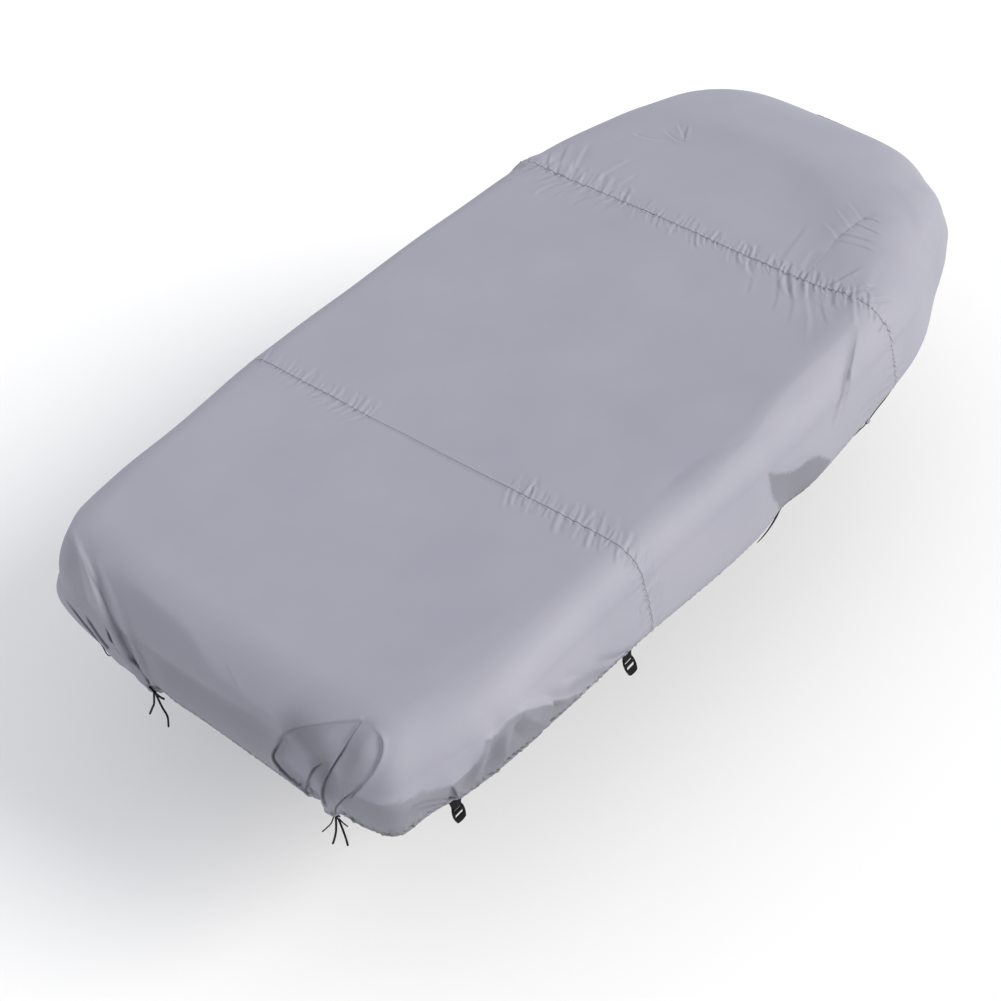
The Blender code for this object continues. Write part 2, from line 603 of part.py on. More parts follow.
def hanging_strap(name, surface, side, mat):
    """Flat strap whose sewn end meets the hem and whose cut end hangs free."""
    columns = []
    for step in (-0.5, 0.0, 0.5):
        top, slope = hem_edge(surface, STRAP_X + step * STRAP_WIDTH, side)
        half = Vector((0, side * WEB_THICK / 2, slope * WEB_THICK / 2))
        front, back = [], []
        for share in np.linspace(0, 1, 7):
            out = STRAP_FALL[1] * share + STRAP_BOW * math.sin(math.pi * share)
            fall = Vector((STRAP_FALL[0] * share, side * out, STRAP_FALL[2] * share - CONTACT_GAP))
            front.append(top + fall + half)
            back.append(top + fall - half)
        columns.append(front + back[::-1])
    return strip(name, columns, mat)


# ---------------------------------------------------------------- knot and stopper
def tube_ring(name, path, out, radius, sides, mat):
    """Closed round tube along a closed path; out is a unit vector across it at each point."""
    along = np.roll(path, -1, 0) - np.roll(path, 1, 0)
    along /= np.linalg.norm(along, axis=1, keepdims=True)
    across = np.cross(along, out)
    turn = np.arange(sides) * 2 * math.pi / sides
    rings = path[:, None] + radius * (np.cos(turn)[:, None] * out[:, None]
                                      + np.sin(turn)[:, None] * across[:, None])
    steps = len(path)
    faces = []
    for j in range(steps):
        for k in range(sides):
            here, there = j * sides, (j + 1) % steps * sides
            after = (k + 1) % sides
            faces.append((here + k, here + after, there + after, there + k))
    thing = mesh_object(name, rings.reshape(-1, 3), faces, mat)
    outward(thing)
    return thing


def knot(name, centre, mat):
    """Overhand knot drawn up tight: a trefoil whose flat side faces astern."""
    t = np.arange(36) * 2 * math.pi / 36
    turn = 2 * t - math.pi / 2
    out = np.column_stack([np.sin(3 * t), np.cos(3 * t) * np.cos(turn), np.cos(3 * t) * np.sin(turn)])
    ring = np.column_stack([np.zeros(36), np.cos(turn), np.sin(turn)])
    path = np.array(centre) + KNOT_RING * ring + KNOT_WAVE * out
    return tube_ring(name, path, out, KNOT_CORD / 2, 8, mat)


def stopper(name, centre, along, mat):
    """Barrel cord stopper with a bore, its axis along the cord."""
    half, radius, bore = STOPPER_LENGTH / 2, STOPPER_WIDTH / 2, STOPPER_BORE / 2
    profile = [(-half, bore), (-half, 0.6 * radius), (-0.85 * half, 0.8 * radius),
               (-0.4 * half, radius), (0.4 * half, radius), (0.85 * half, 0.8 * radius),
               (half, 0.6 * radius), (half, bore)]
    shape = bmesh.new()
    corners = [shape.verts.new((r, 0, x)) for x, r in profile]
    edges = [shape.edges.new((a, b)) for a, b in zip(corners, corners[1:] + corners[:1])]
    bmesh.ops.spin(shape, geom=corners + edges, cent=(0, 0, 0), axis=(0, 0, 1),
                   angle=2 * math.pi, steps=16, use_merge=True)
    turn = Vector(along).to_track_quat("Z", "Y").to_matrix().to_4x4()
    bmesh.ops.transform(shape, matrix=Matrix.Translation(centre) @ turn, verts=shape.verts)
    bmesh.ops.recalc_face_normals(shape, faces=shape.faces)
    mesh = bpy.data.meshes.new(name)
    shape.to_mesh(mesh)
    shape.free()
    mesh.materials.append(mat)
    mesh.shade_smooth()
    mesh.set_sharp_from_angle(angle=math.radians(50))
    thing = bpy.data.objects.new(name, mesh)
    bpy.context.collection.objects.link(thing)
    return thing


def main():
    for thing in list(bpy.data.objects):
        bpy.data.objects.remove(thing, do_unlink=True)
    cloth = material("cover cloth", (0.36, 0.36, 0.42), 0.75)
    webbing = material("black webbing", (0.015, 0.015, 0.017), 0.8)
    plastic = material("black plastic", (0.012, 0.012, 0.013), 0.35)
    rope = material("black cord", (0.012, 0.012, 0.014), 0.8)
    grey = material("grey plastic", (0.25, 0.25, 0.25), 0.4)

    surface = cover_surface()
    for index, name in enumerate(("stern_panel", "middle_panel", "bow_panel")):
        panel(name, index, surface, cloth)
    plate = buckle_mesh(plastic)
    for name, x, side, tilt in TABS:
        bar = tab("tab_" + name, surface, x, side, webbing)
        buckle("buckle_" + name, plate, bar, side, tilt)
    for name, side in (("starboard", -1), ("port", 1)):
        hanging_strap("hem_strap_" + name, surface, side, webbing)
    for piece in CORDS:
        cord(piece.name, piece.route, piece.diameter, rope)
    knot("tie_starboard_knot", KNOT_CENTRE, rope)
    stopper("drawcord_stopper", STOPPER_CENTRE, STOPPER_ALONG, grey)


main()
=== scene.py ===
"""Looks of a fitted storage cover for a small square-bowed boat: three coated polyester panels,
their seams and gathered hem, webbing tabs with slide buckles, hem straps, stern ties and the
hem drawcord. Metres, +X to the bow, +Y to port, +Z up.
"""
import math
from collections import namedtuple

import bmesh
import bpy
import numpy as np
from mathutils import Matrix, Vector
from mathutils.bvhtree import BVHTree
from mathutils.kdtree import KDTree


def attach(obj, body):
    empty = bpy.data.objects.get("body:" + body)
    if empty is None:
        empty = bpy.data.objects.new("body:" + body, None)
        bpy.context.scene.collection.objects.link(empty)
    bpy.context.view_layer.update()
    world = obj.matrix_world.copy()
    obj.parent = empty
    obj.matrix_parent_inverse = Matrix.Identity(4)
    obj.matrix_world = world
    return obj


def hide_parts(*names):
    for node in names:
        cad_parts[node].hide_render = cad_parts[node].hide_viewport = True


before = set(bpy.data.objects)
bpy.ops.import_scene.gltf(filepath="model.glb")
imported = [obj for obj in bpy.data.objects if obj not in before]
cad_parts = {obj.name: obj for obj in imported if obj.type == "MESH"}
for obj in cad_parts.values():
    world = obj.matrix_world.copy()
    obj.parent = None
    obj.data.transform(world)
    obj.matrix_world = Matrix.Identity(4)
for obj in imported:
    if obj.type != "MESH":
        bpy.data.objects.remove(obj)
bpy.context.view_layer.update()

# ---------------------------------------------------------------- sizes
SHEET = 0.0016           # cloth
HEM_THICK = 0.006        # turned hem with its drawcord
HEM_TOP = 0.027          # height at which the turned hem begins
HEM_TAPER = 0.006        # over which it comes to its full thickness
HEM_ROLL = 0.003         # radius of the hem's lower edge
STITCH_HEIGHT = 0.0190   # of the hem's stitching above that edge
SEAM_GAP = 0.0003        # between the panels' cut edges
MID_SEAM_X = -0.545
FORE_SEAM_X = 0.740
FOLD_EDGE = 0.0045       # half-width of the step at a broad tuck's edge
SWELL_BASE = 0.002       # the underside at the origin lies this far below the top's face

# The smooth cover's grid. Its outline's runs go round from the starboard stern corner: three
# up the starboard side, the bow, three down the port side, the stern.
STERN_ROWS, MID_ROWS, BOW_ROWS = 68, 92, 62
ACROSS = 108
BOW_RUN, PORT_RUN, STERN_RUN = 3, 4, 7
SEAM_RUNS = {MID_SEAM_X: (1, 6), FORE_SEAM_X: (2, 5)}   # the runs that start at a seam
RUN_STEPS = 600          # places along a run at which its curve is measured
CROWDING = 0.055         # how much closer the faces stand near the ends of a run
ARC_RINGS, SKIRT_RINGS = 14, 10
ARC_SHARE = 0.5          # share of the way down that is the rounded edge
HEM_HEIGHTS = (0.024, 0.016, 0.011, 0.007, 0.004, 0.002, 0.0008, 0.0)
RINGS = ARC_RINGS + SKIRT_RINGS + len(HEM_HEIGHTS) - 1
HEM_SHARE = 0.8          # most of a short skirt that the hem's rings take
LEAST_LEAN = 0.05        # least share of the skirt over which it leans out
TUCK_BEND = 1.3          # above 1 the skirt turns in more sharply towards the hem

# Edge lengths of the cloth's faces: the plain cloth's and the finest, then beside each line
# the edge on it, how far from it that edge holds, and its growth with the distance beyond.
PLAIN_EDGE = 0.020
FINEST_EDGE = 0.0042
SEAM_FACES = (FINEST_EDGE, 0.014, 0.10)
HEM_FACES = (0.0056, 0.024, 0.18)
FOLD_FACES = (0.011, 0.015, 0.6)
CREASE_FACES = (FINEST_EDGE, 0.006, 0.6)
FACET_FACES = (0.0085, 0.008, 0.6)
FACES_REACH = 0.05       # a fold or crease leaves the faces beyond this as they are
FOLD_STEPS, CREASE_STEPS = 6, 3   # straight pieces from one point of a route to the next

# Smallest differences that count.
SAME_PLACE = 1e-6        # between points of the cloth
JOINED = 1e-5            # between points of a hard piece
JUST_UNDER = 1e-9        # keeps a curve's last point in its last span
TINY = 1e-12             # least length of a vector
UPRIGHT = 0.1            # sine of the angle within which a cord's start counts as upright

# The camera, by its place and its three directions, and the floor.
CAMERA_PLACE = (-3.78, -3.53, 4.4364)
CAMERA_RIGHT = (0.64186, -0.76154, -0.08986)
CAMERA_UP = (0.57861, 0.40408, 0.70847)
CAMERA_BACK = (-0.50321, -0.50673, 0.70000)
LENS = 77.396
SENSOR = 36.0
FLOOR_Z = -0.98

TURN = 2 * math.pi
HALVES = (0, 1, 2, 0, 2, 3)   # a quad's corners as two triangles
WEAVE_PITCH = 0.0024     # from thread to thread of the cloth
RIB_PITCH = 0.0021       # and of the webbing, along and across
PICK_PITCH = 0.0013
BRAID_PITCH = 0.0042     # of the cords
PANEL_CUT = 1.02         # length of the rectangle that a panel is cut from, over its own

# Stitching.
LAP = 0.006              # the seam's stitching lies this far astern of it
SEAM_ENDS = 0.012        # and stops this far from the hem's edge
STITCH_PITCH = 0.008
STITCH_SHARE = 0.68      # share of the pitch that is thread
THREAD = 0.0011
STITCH_SIDES = 5
STITCH_SEARCH = 0.03     # how far from the smooth cover its cloth may lie
STITCH_SHAPE = ((0.0, -0.35), (0.5, 0.22), (1.0, -0.35))  # shares of a stitch, lifts in threads

# Cords: diameters, then the rings of a rounded tip by how far they lie beyond the end and how
# wide they are, in radii.
TIE_CORD = 0.0065
THIN_CORD = 0.004
DRAW_CORD = 0.0036
CORD_SIDES = 12
CORD_STEPS = 8           # rings from one point of a route to the next
TIP_RINGS = ((0.25, 0.78), (0.45, 0.35))
TIP = 0.5
KNOT_RING = 0.0072       # radius that the knot's cord goes round
KNOT_WAVE = 0.0037       # how far it swings to either side of that
KNOT_CORD = 0.0060
KNOT_STEPS = 72
STOPPER_LENGTH = 0.018
STOPPER_WIDTH = 0.015
STOPPER_BORE = 0.0048
# Heights of the stopper's rings as shares of its half length, and how wide each is.
STOPPER_LEVELS = (-0.72, -0.40, 0.30, 0.42, 0.62)
STOPPER_WAIST = {-1: 0.72, -0.72: 0.93, -0.40: 1.0, 0.30: 1.0, 0.42: 0.80, 0.62: 0.80, 1: 0.70}

# Colours, linear, and the studio's light.
CLOTH_COLOUR = (0.240, 0.240, 0.281)
# near black that the painted shade of gaps, seams, hem pits and tucks darkens towards
PAINTED_SHADE_COLOUR = (0.008, 0.008, 0.009)
FLOOR_COLOUR = (0.72, 0.72, 0.72)
THREAD_COLOUR = (0.09, 0.09, 0.10)
GREY = (0.20, 0.20, 0.21)
BLACK = (0.005, 0.005, 0.006)
WEBBING_COLOUR = (0.008, 0.008, 0.009)
WEBBING_SHADES = ((0.005, 0.005, 0.006), (0.018, 0.018, 0.020))
CORD_COLOUR = (0.007, 0.007, 0.008)
CORD_SHADES = ((0.004, 0.004, 0.005), (0.016, 0.016, 0.018))
PLASTIC_ROUGHNESS = 0.42
AMBIENT_HORIZON = 1.45   # the sky is brighter low down
AMBIENT_ZENITH = 0.83
AMBIENT_COLOUR = (0.97, 0.985, 1.03)
KEY_COLOUR = (1.0, 0.97, 0.90)
KEY_DIRECTION = (0.36, -0.64, 0.45)
KEY_SPREAD = 32
KEY_STRENGTH = 3.0

# The outline, anticlockwise from the starboard stern corner. "top" is where the flat top
# begins to round over, "rim" the widest line of the skirt, "drop" the height of the rounded
# edge, "depth" the hem's depth below the top, "flare" how far the skirt leans out between
# the two, "turn" the height above the hem where it starts to turn in, by "tuck" at the hem.
Section = namedtuple("Section", "place top_x top_y rim_x rim_y drop depth flare turn tuck")
SECTIONS = [Section(*row) for row in (
    ("corner", -1.385, -0.590, -1.545, -0.690, 0.150, 0.356, 0.025, 0.11, 0.030),
    ("side",   -1.270, -0.640, -1.440, -0.742, 0.130, 0.338, 0.020, 0.12, 0.046),
    ("side",   -1.120, -0.665, -1.230, -0.800, 0.105, 0.350, 0.015, 0.19, 0.048),
    ("side",   -0.860, -0.692, -0.900, -0.818, 0.100, 0.345, 0.020, 0.13, 0.036),
    ("seam",   -0.545, -0.705, -0.545, -0.832, 0.100, 0.332, 0.025, 0.06, 0.028),
    ("side",   -0.150, -0.712, -0.150, -0.856, 0.100, 0.350, 0.025, 0.06, 0.030),
    ("side",    0.260, -0.705,  0.270, -0.864, 0.105, 0.345, 0.025, 0.07, 0.030),
    ("seam",    0.740, -0.670,  0.740, -0.835, 0.120, 0.320, 0.025, 0.05, 0.025),
    ("side",    0.900, -0.600,  0.960, -0.796, 0.150, 0.310, 0.025, 0.04, 0.020),
    ("side",    1.020, -0.545,  1.180, -0.705, 0.170, 0.300, 0.025, 0.03, 0.020),
    ("side",    1.110, -0.495,  1.370, -0.625, 0.170, 0.290, 0.025, 0.03, 0.020),
    ("corner",  1.190, -0.420,  1.530, -0.505, 0.155, 0.255, 0.025, 0.03, 0.018),
    ("bow",     1.240, -0.280,  1.600, -0.310, 0.095, 0.132, 0.020, 0.02, 0.008),
    ("bow",     1.275,  0.000,  1.617,  0.000, 0.074, 0.096, 0.030, 0.01, 0.003),
    ("bow",     1.240,  0.280,  1.620,  0.310, 0.088, 0.125, 0.020, 0.02, 0.006),
    ("corner",  1.190,  0.420,  1.560,  0.512, 0.125, 0.245, 0.025, 0.03, 0.018),
    ("side",    1.110,  0.495,  1.375,  0.620, 0.140, 0.290, 0.025, 0.04, 0.020),
    ("side",    1.020,  0.550,  1.185,  0.690, 0.140, 0.300, 0.025, 0.04, 0.020),
    ("side",    0.900,  0.595,  0.960,  0.755, 0.130, 0.310, 0.025, 0.04, 0.020),
    ("seam",    0.740,  0.630,  0.740,  0.776, 0.115, 0.320, 0.025, 0.05, 0.020),
    ("side",    0.260,  0.690,  0.270,  0.799, 0.105, 0.330, 0.025, 0.06, 0.020),
    ("side",   -0.150,  0.698, -0.150,  0.810, 0.100, 0.335, 0.025, 0.06, 0.020),
    ("seam",   -0.545,  0.695, -0.545,  0.826, 0.100, 0.335, 0.025, 0.06, 0.020),
    ("side",   -0.860,  0.680, -0.900,  0.802, 0.100, 0.335, 0.025, 0.06, 0.020),
    ("side",   -1.120,  0.665, -1.190,  0.797, 0.105, 0.335, 0.025, 0.06, 0.020),
    ("side",   -1.270,  0.640, -1.418,  0.748, 0.130, 0.322, 0.025, 0.08, 0.044),
    ("corner", -1.350,  0.560, -1.536,  0.658, 0.170, 0.314, 0.025, 0.10, 0.052),
    ("stern",  -1.375,  0.350, -1.568,  0.380, 0.150, 0.318, 0.025, 0.05, 0.014),
    ("stern",  -1.380,  0.000, -1.575,  0.000, 0.170, 0.315, 0.025, 0.05, 0.012),
    ("stern",  -1.385, -0.350, -1.583, -0.370, 0.170, 0.320, 0.025, 0.05, 0.010),
    ("stern",  -1.390, -0.490, -1.580, -0.510, 0.160, 0.328, 0.025, 0.06, 0.012),
)]

# Folds and tucks. A route starts at its strongest end and fades towards its last point; seen
# along the route from outside, each side has its own reach and its own lift (a sink when
# negative), so that unequal sides make a tuck's edge.
Fold = namedtuple("Fold", "name route left_reach left_lift right_reach right_lift")
FOLDS = [Fold(*row) for row in (
    ("starboard lobe, aft edge",
     ((-1.582, -0.391, -0.290), (-1.583, -0.300, -0.230), (-1.556, -0.320, -0.135),
      (-1.527, -0.400, -0.070), (-1.449, -0.546, -0.012)), 0.030, 0.003, 0.070, -0.014),
    ("starboard tuck, main edge",
     ((-1.575, -0.470, -0.315), (-1.567, -0.475, -0.214), (-1.548, -0.503, -0.137),
      (-1.507, -0.537, -0.054), (-1.440, -0.552, -0.008)), 0.040, -0.010, 0.045, 0.012),
    ("starboard tuck, far edge",
     ((-1.570, -0.520, -0.315), (-1.557, -0.573, -0.207), (-1.540, -0.604, -0.156),
      (-1.517, -0.640, -0.087), (-1.455, -0.630, -0.024)), 0.040, 0.010, 0.035, -0.006),
    ("port corner, outer ridge",
     ((-1.566, 0.240, -0.300), (-1.544, 0.364, -0.146), (-1.489, 0.492, -0.046),
      (-1.447, 0.589, -0.026), (-1.400, 0.680, -0.020)), 0.040, 0.012, 0.030, -0.008),
    ("port corner, inner ridge",
     ((-1.566, 0.215, -0.300), (-1.546, 0.288, -0.148), (-1.513, 0.384, -0.065),
      (-1.450, 0.510, -0.020)), 0.030, 0.008, 0.050, -0.008),
    ("port corner, lower fold",
     ((-1.560, 0.380, -0.290), (-1.562, 0.465, -0.231), (-1.548, 0.517, -0.184),
      (-1.507, 0.556, -0.070)), 0.035, -0.008, 0.035, 0.008),
    ("starboard quarter, fold 1",
     ((-1.335, -0.752, -0.320), (-1.360, -0.750, -0.200)), 0.035, -0.004, 0.045, 0.008),
    ("starboard quarter, fold 2",
     ((-1.250, -0.775, -0.330), (-1.245, -0.785, -0.180), (-1.183, -0.771, -0.085)),
     0.035, 0.010, 0.050, -0.010),
    ("starboard quarter, fold 3",
     ((-1.170, -0.775, -0.330), (-1.150, -0.790, -0.180), (-1.095, -0.784, -0.110)),
     0.035, 0.008, 0.060, -0.010),
    ("starboard quarter, fold 4",
     ((-1.000, -0.790, -0.330), (-0.985, -0.804, -0.190), (-1.080, -0.790, -0.110)),
     0.045, 0.010, 0.050, -0.008),
    ("starboard bow, sunk hem",
     ((0.120, -0.850, -0.330), (0.160, -0.860, -0.150)), 0.090, -0.018, 0.100, -0.018),
    ("starboard bow, long crease",
     ((0.484, -0.821, -0.073), (0.434, -0.837, -0.131), (0.375, -0.845, -0.180)),
     0.030, 0.004, 0.030, -0.006),
    ("fore seam, port roll",
     ((0.775, 0.700, -0.030), (0.770, 0.600, 0.000), (0.775, 0.420, 0.000)),
     0.035, 0.008, 0.040, 0.008),
)]

# Broad rises and hollows of the slack top.
Swell = namedtuple("Swell", "x y reach_x reach_y lift")
SWELLS = [Swell(*row) for row in (
    (-0.60, -0.50, 0.60, 0.22, 0.008),
    (-0.55,  0.30, 0.45, 0.25, -0.006),
    ( 0.15,  0.00, 0.40, 0.45, -0.007),
    ( 0.78,  0.30, 0.15, 0.30, 0.008),
    ( 0.85, -0.45, 0.25, 0.18, -0.010),
    (-1.10,  0.10, 0.30, 0.40, 0.005),
)]

# Cords by the points on their routes.
Cord = namedtuple("Cord", "name diameter route")
CORDS = [Cord(*row) for row in (
    ("tie_port_wrap", TIE_CORD,
     ((-1.5746, 0.243, -0.290), (-1.5752, 0.224, -0.2985), (-1.5742, 0.207, -0.308),
      (-1.5705, 0.190, -0.314))),
    ("tie_port_short_end", TIE_CORD,
     ((-1.5748, 0.2265, -0.3023), (-1.574, 0.246, -0.367), (-1.572, 0.266, -0.404),
      (-1.572, 0.291, -0.450))),
    ("tie_port_long_end", TIE_CORD,
     ((-1.5748, 0.2190, -0.3081), (-1.574, 0.209, -0.359), (-1.572, 0.199, -0.398),
      (-1.572, 0.210, -0.453))),
    ("tie_starboard_loop", THIN_CORD,
     ((-1.5740, -0.4665, -0.3178), (-1.5735, -0.470, -0.3265), (-1.572, -0.478, -0.3325),
      (-1.5716, -0.4905, -0.3305))),
    ("tie_starboard_aft_end", TIE_CORD,
     ((-1.569, -0.5005, -0.3440), (-1.572, -0.496, -0.385), (-1.573, -0.490, -0.415),
      (-1.574, -0.476, -0.459), (-1.575, -0.466, -0.486))),
    ("tie_starboard_fore_end", TIE_CORD,
     ((-1.569, -0.5115, -0.3422), (-1.571, -0.5215, -0.380), (-1.573, -0.529, -0.411),
      (-1.574, -0.532, -0.442))),
    ("tie_starboard_aft_tail", THIN_CORD,
     ((-1.570, -0.4951, -0.3384), (-1.573, -0.484, -0.370), (-1.574, -0.471, -0.396),
      (-1.575, -0.431, -0.458))),
    ("tie_starboard_fore_tail", THIN_CORD,
     ((-1.570, -0.5141, -0.3356), (-1.571, -0.531, -0.3425), (-1.571, -0.5475, -0.345))),
    ("drawcord_port_quarter", DRAW_CORD,
     ((-1.4905, 0.634, -0.3080), (-1.506, 0.600, -0.320), (-1.519, 0.560, -0.319),
      (-1.531, 0.520, -0.3105), (-1.537, 0.497, -0.318), (-1.541, 0.482, -0.332),
      (-1.5435, 0.466, -0.330), (-1.5435, 0.452, -0.318), (-1.5470, 0.425, -0.3112),
      (-1.5520, 0.380, -0.3108), (-1.5560, 0.3495, -0.3110))),
    ("drawcord_starboard_shoulder", DRAW_CORD,
     ((1.128, -0.7072, -0.2960), (1.090, -0.727, -0.304), (1.055, -0.745, -0.311),
      (1.020, -0.760, -0.3125), (0.985, -0.768, -0.306), (0.958, -0.7763, -0.3037))),
    ("drawcord_starboard_side", DRAW_CORD,
     ((0.775, -0.8073, -0.3120), (0.745, -0.810, -0.3195), (0.710, -0.813, -0.3235),
      (0.670, -0.816, -0.324), (0.630, -0.8195, -0.327), (0.604, -0.8215, -0.3295),
      (0.578, -0.8235, -0.330), (0.550, -0.8245, -0.3265), (0.520, -0.8253, -0.3261))),
    ("drawcord_bow", DRAW_CORD,
     ((1.6225, 0.062, -0.0785), (1.6196, 0.0012, -0.079), (1.6178, -0.060, -0.0806),
      (1.6158, -0.1203, -0.0841), (1.6131, -0.1775, -0.0895), (1.6092, -0.232, -0.0971))),
)]
KNOT_CENTRE = (-1.5690, -0.5040, -0.3302)
STOPPER_CENTRE = (0.6040, -0.8215, -0.3295)
STOPPER_ALONG = (-0.052, -0.004, -0.003)
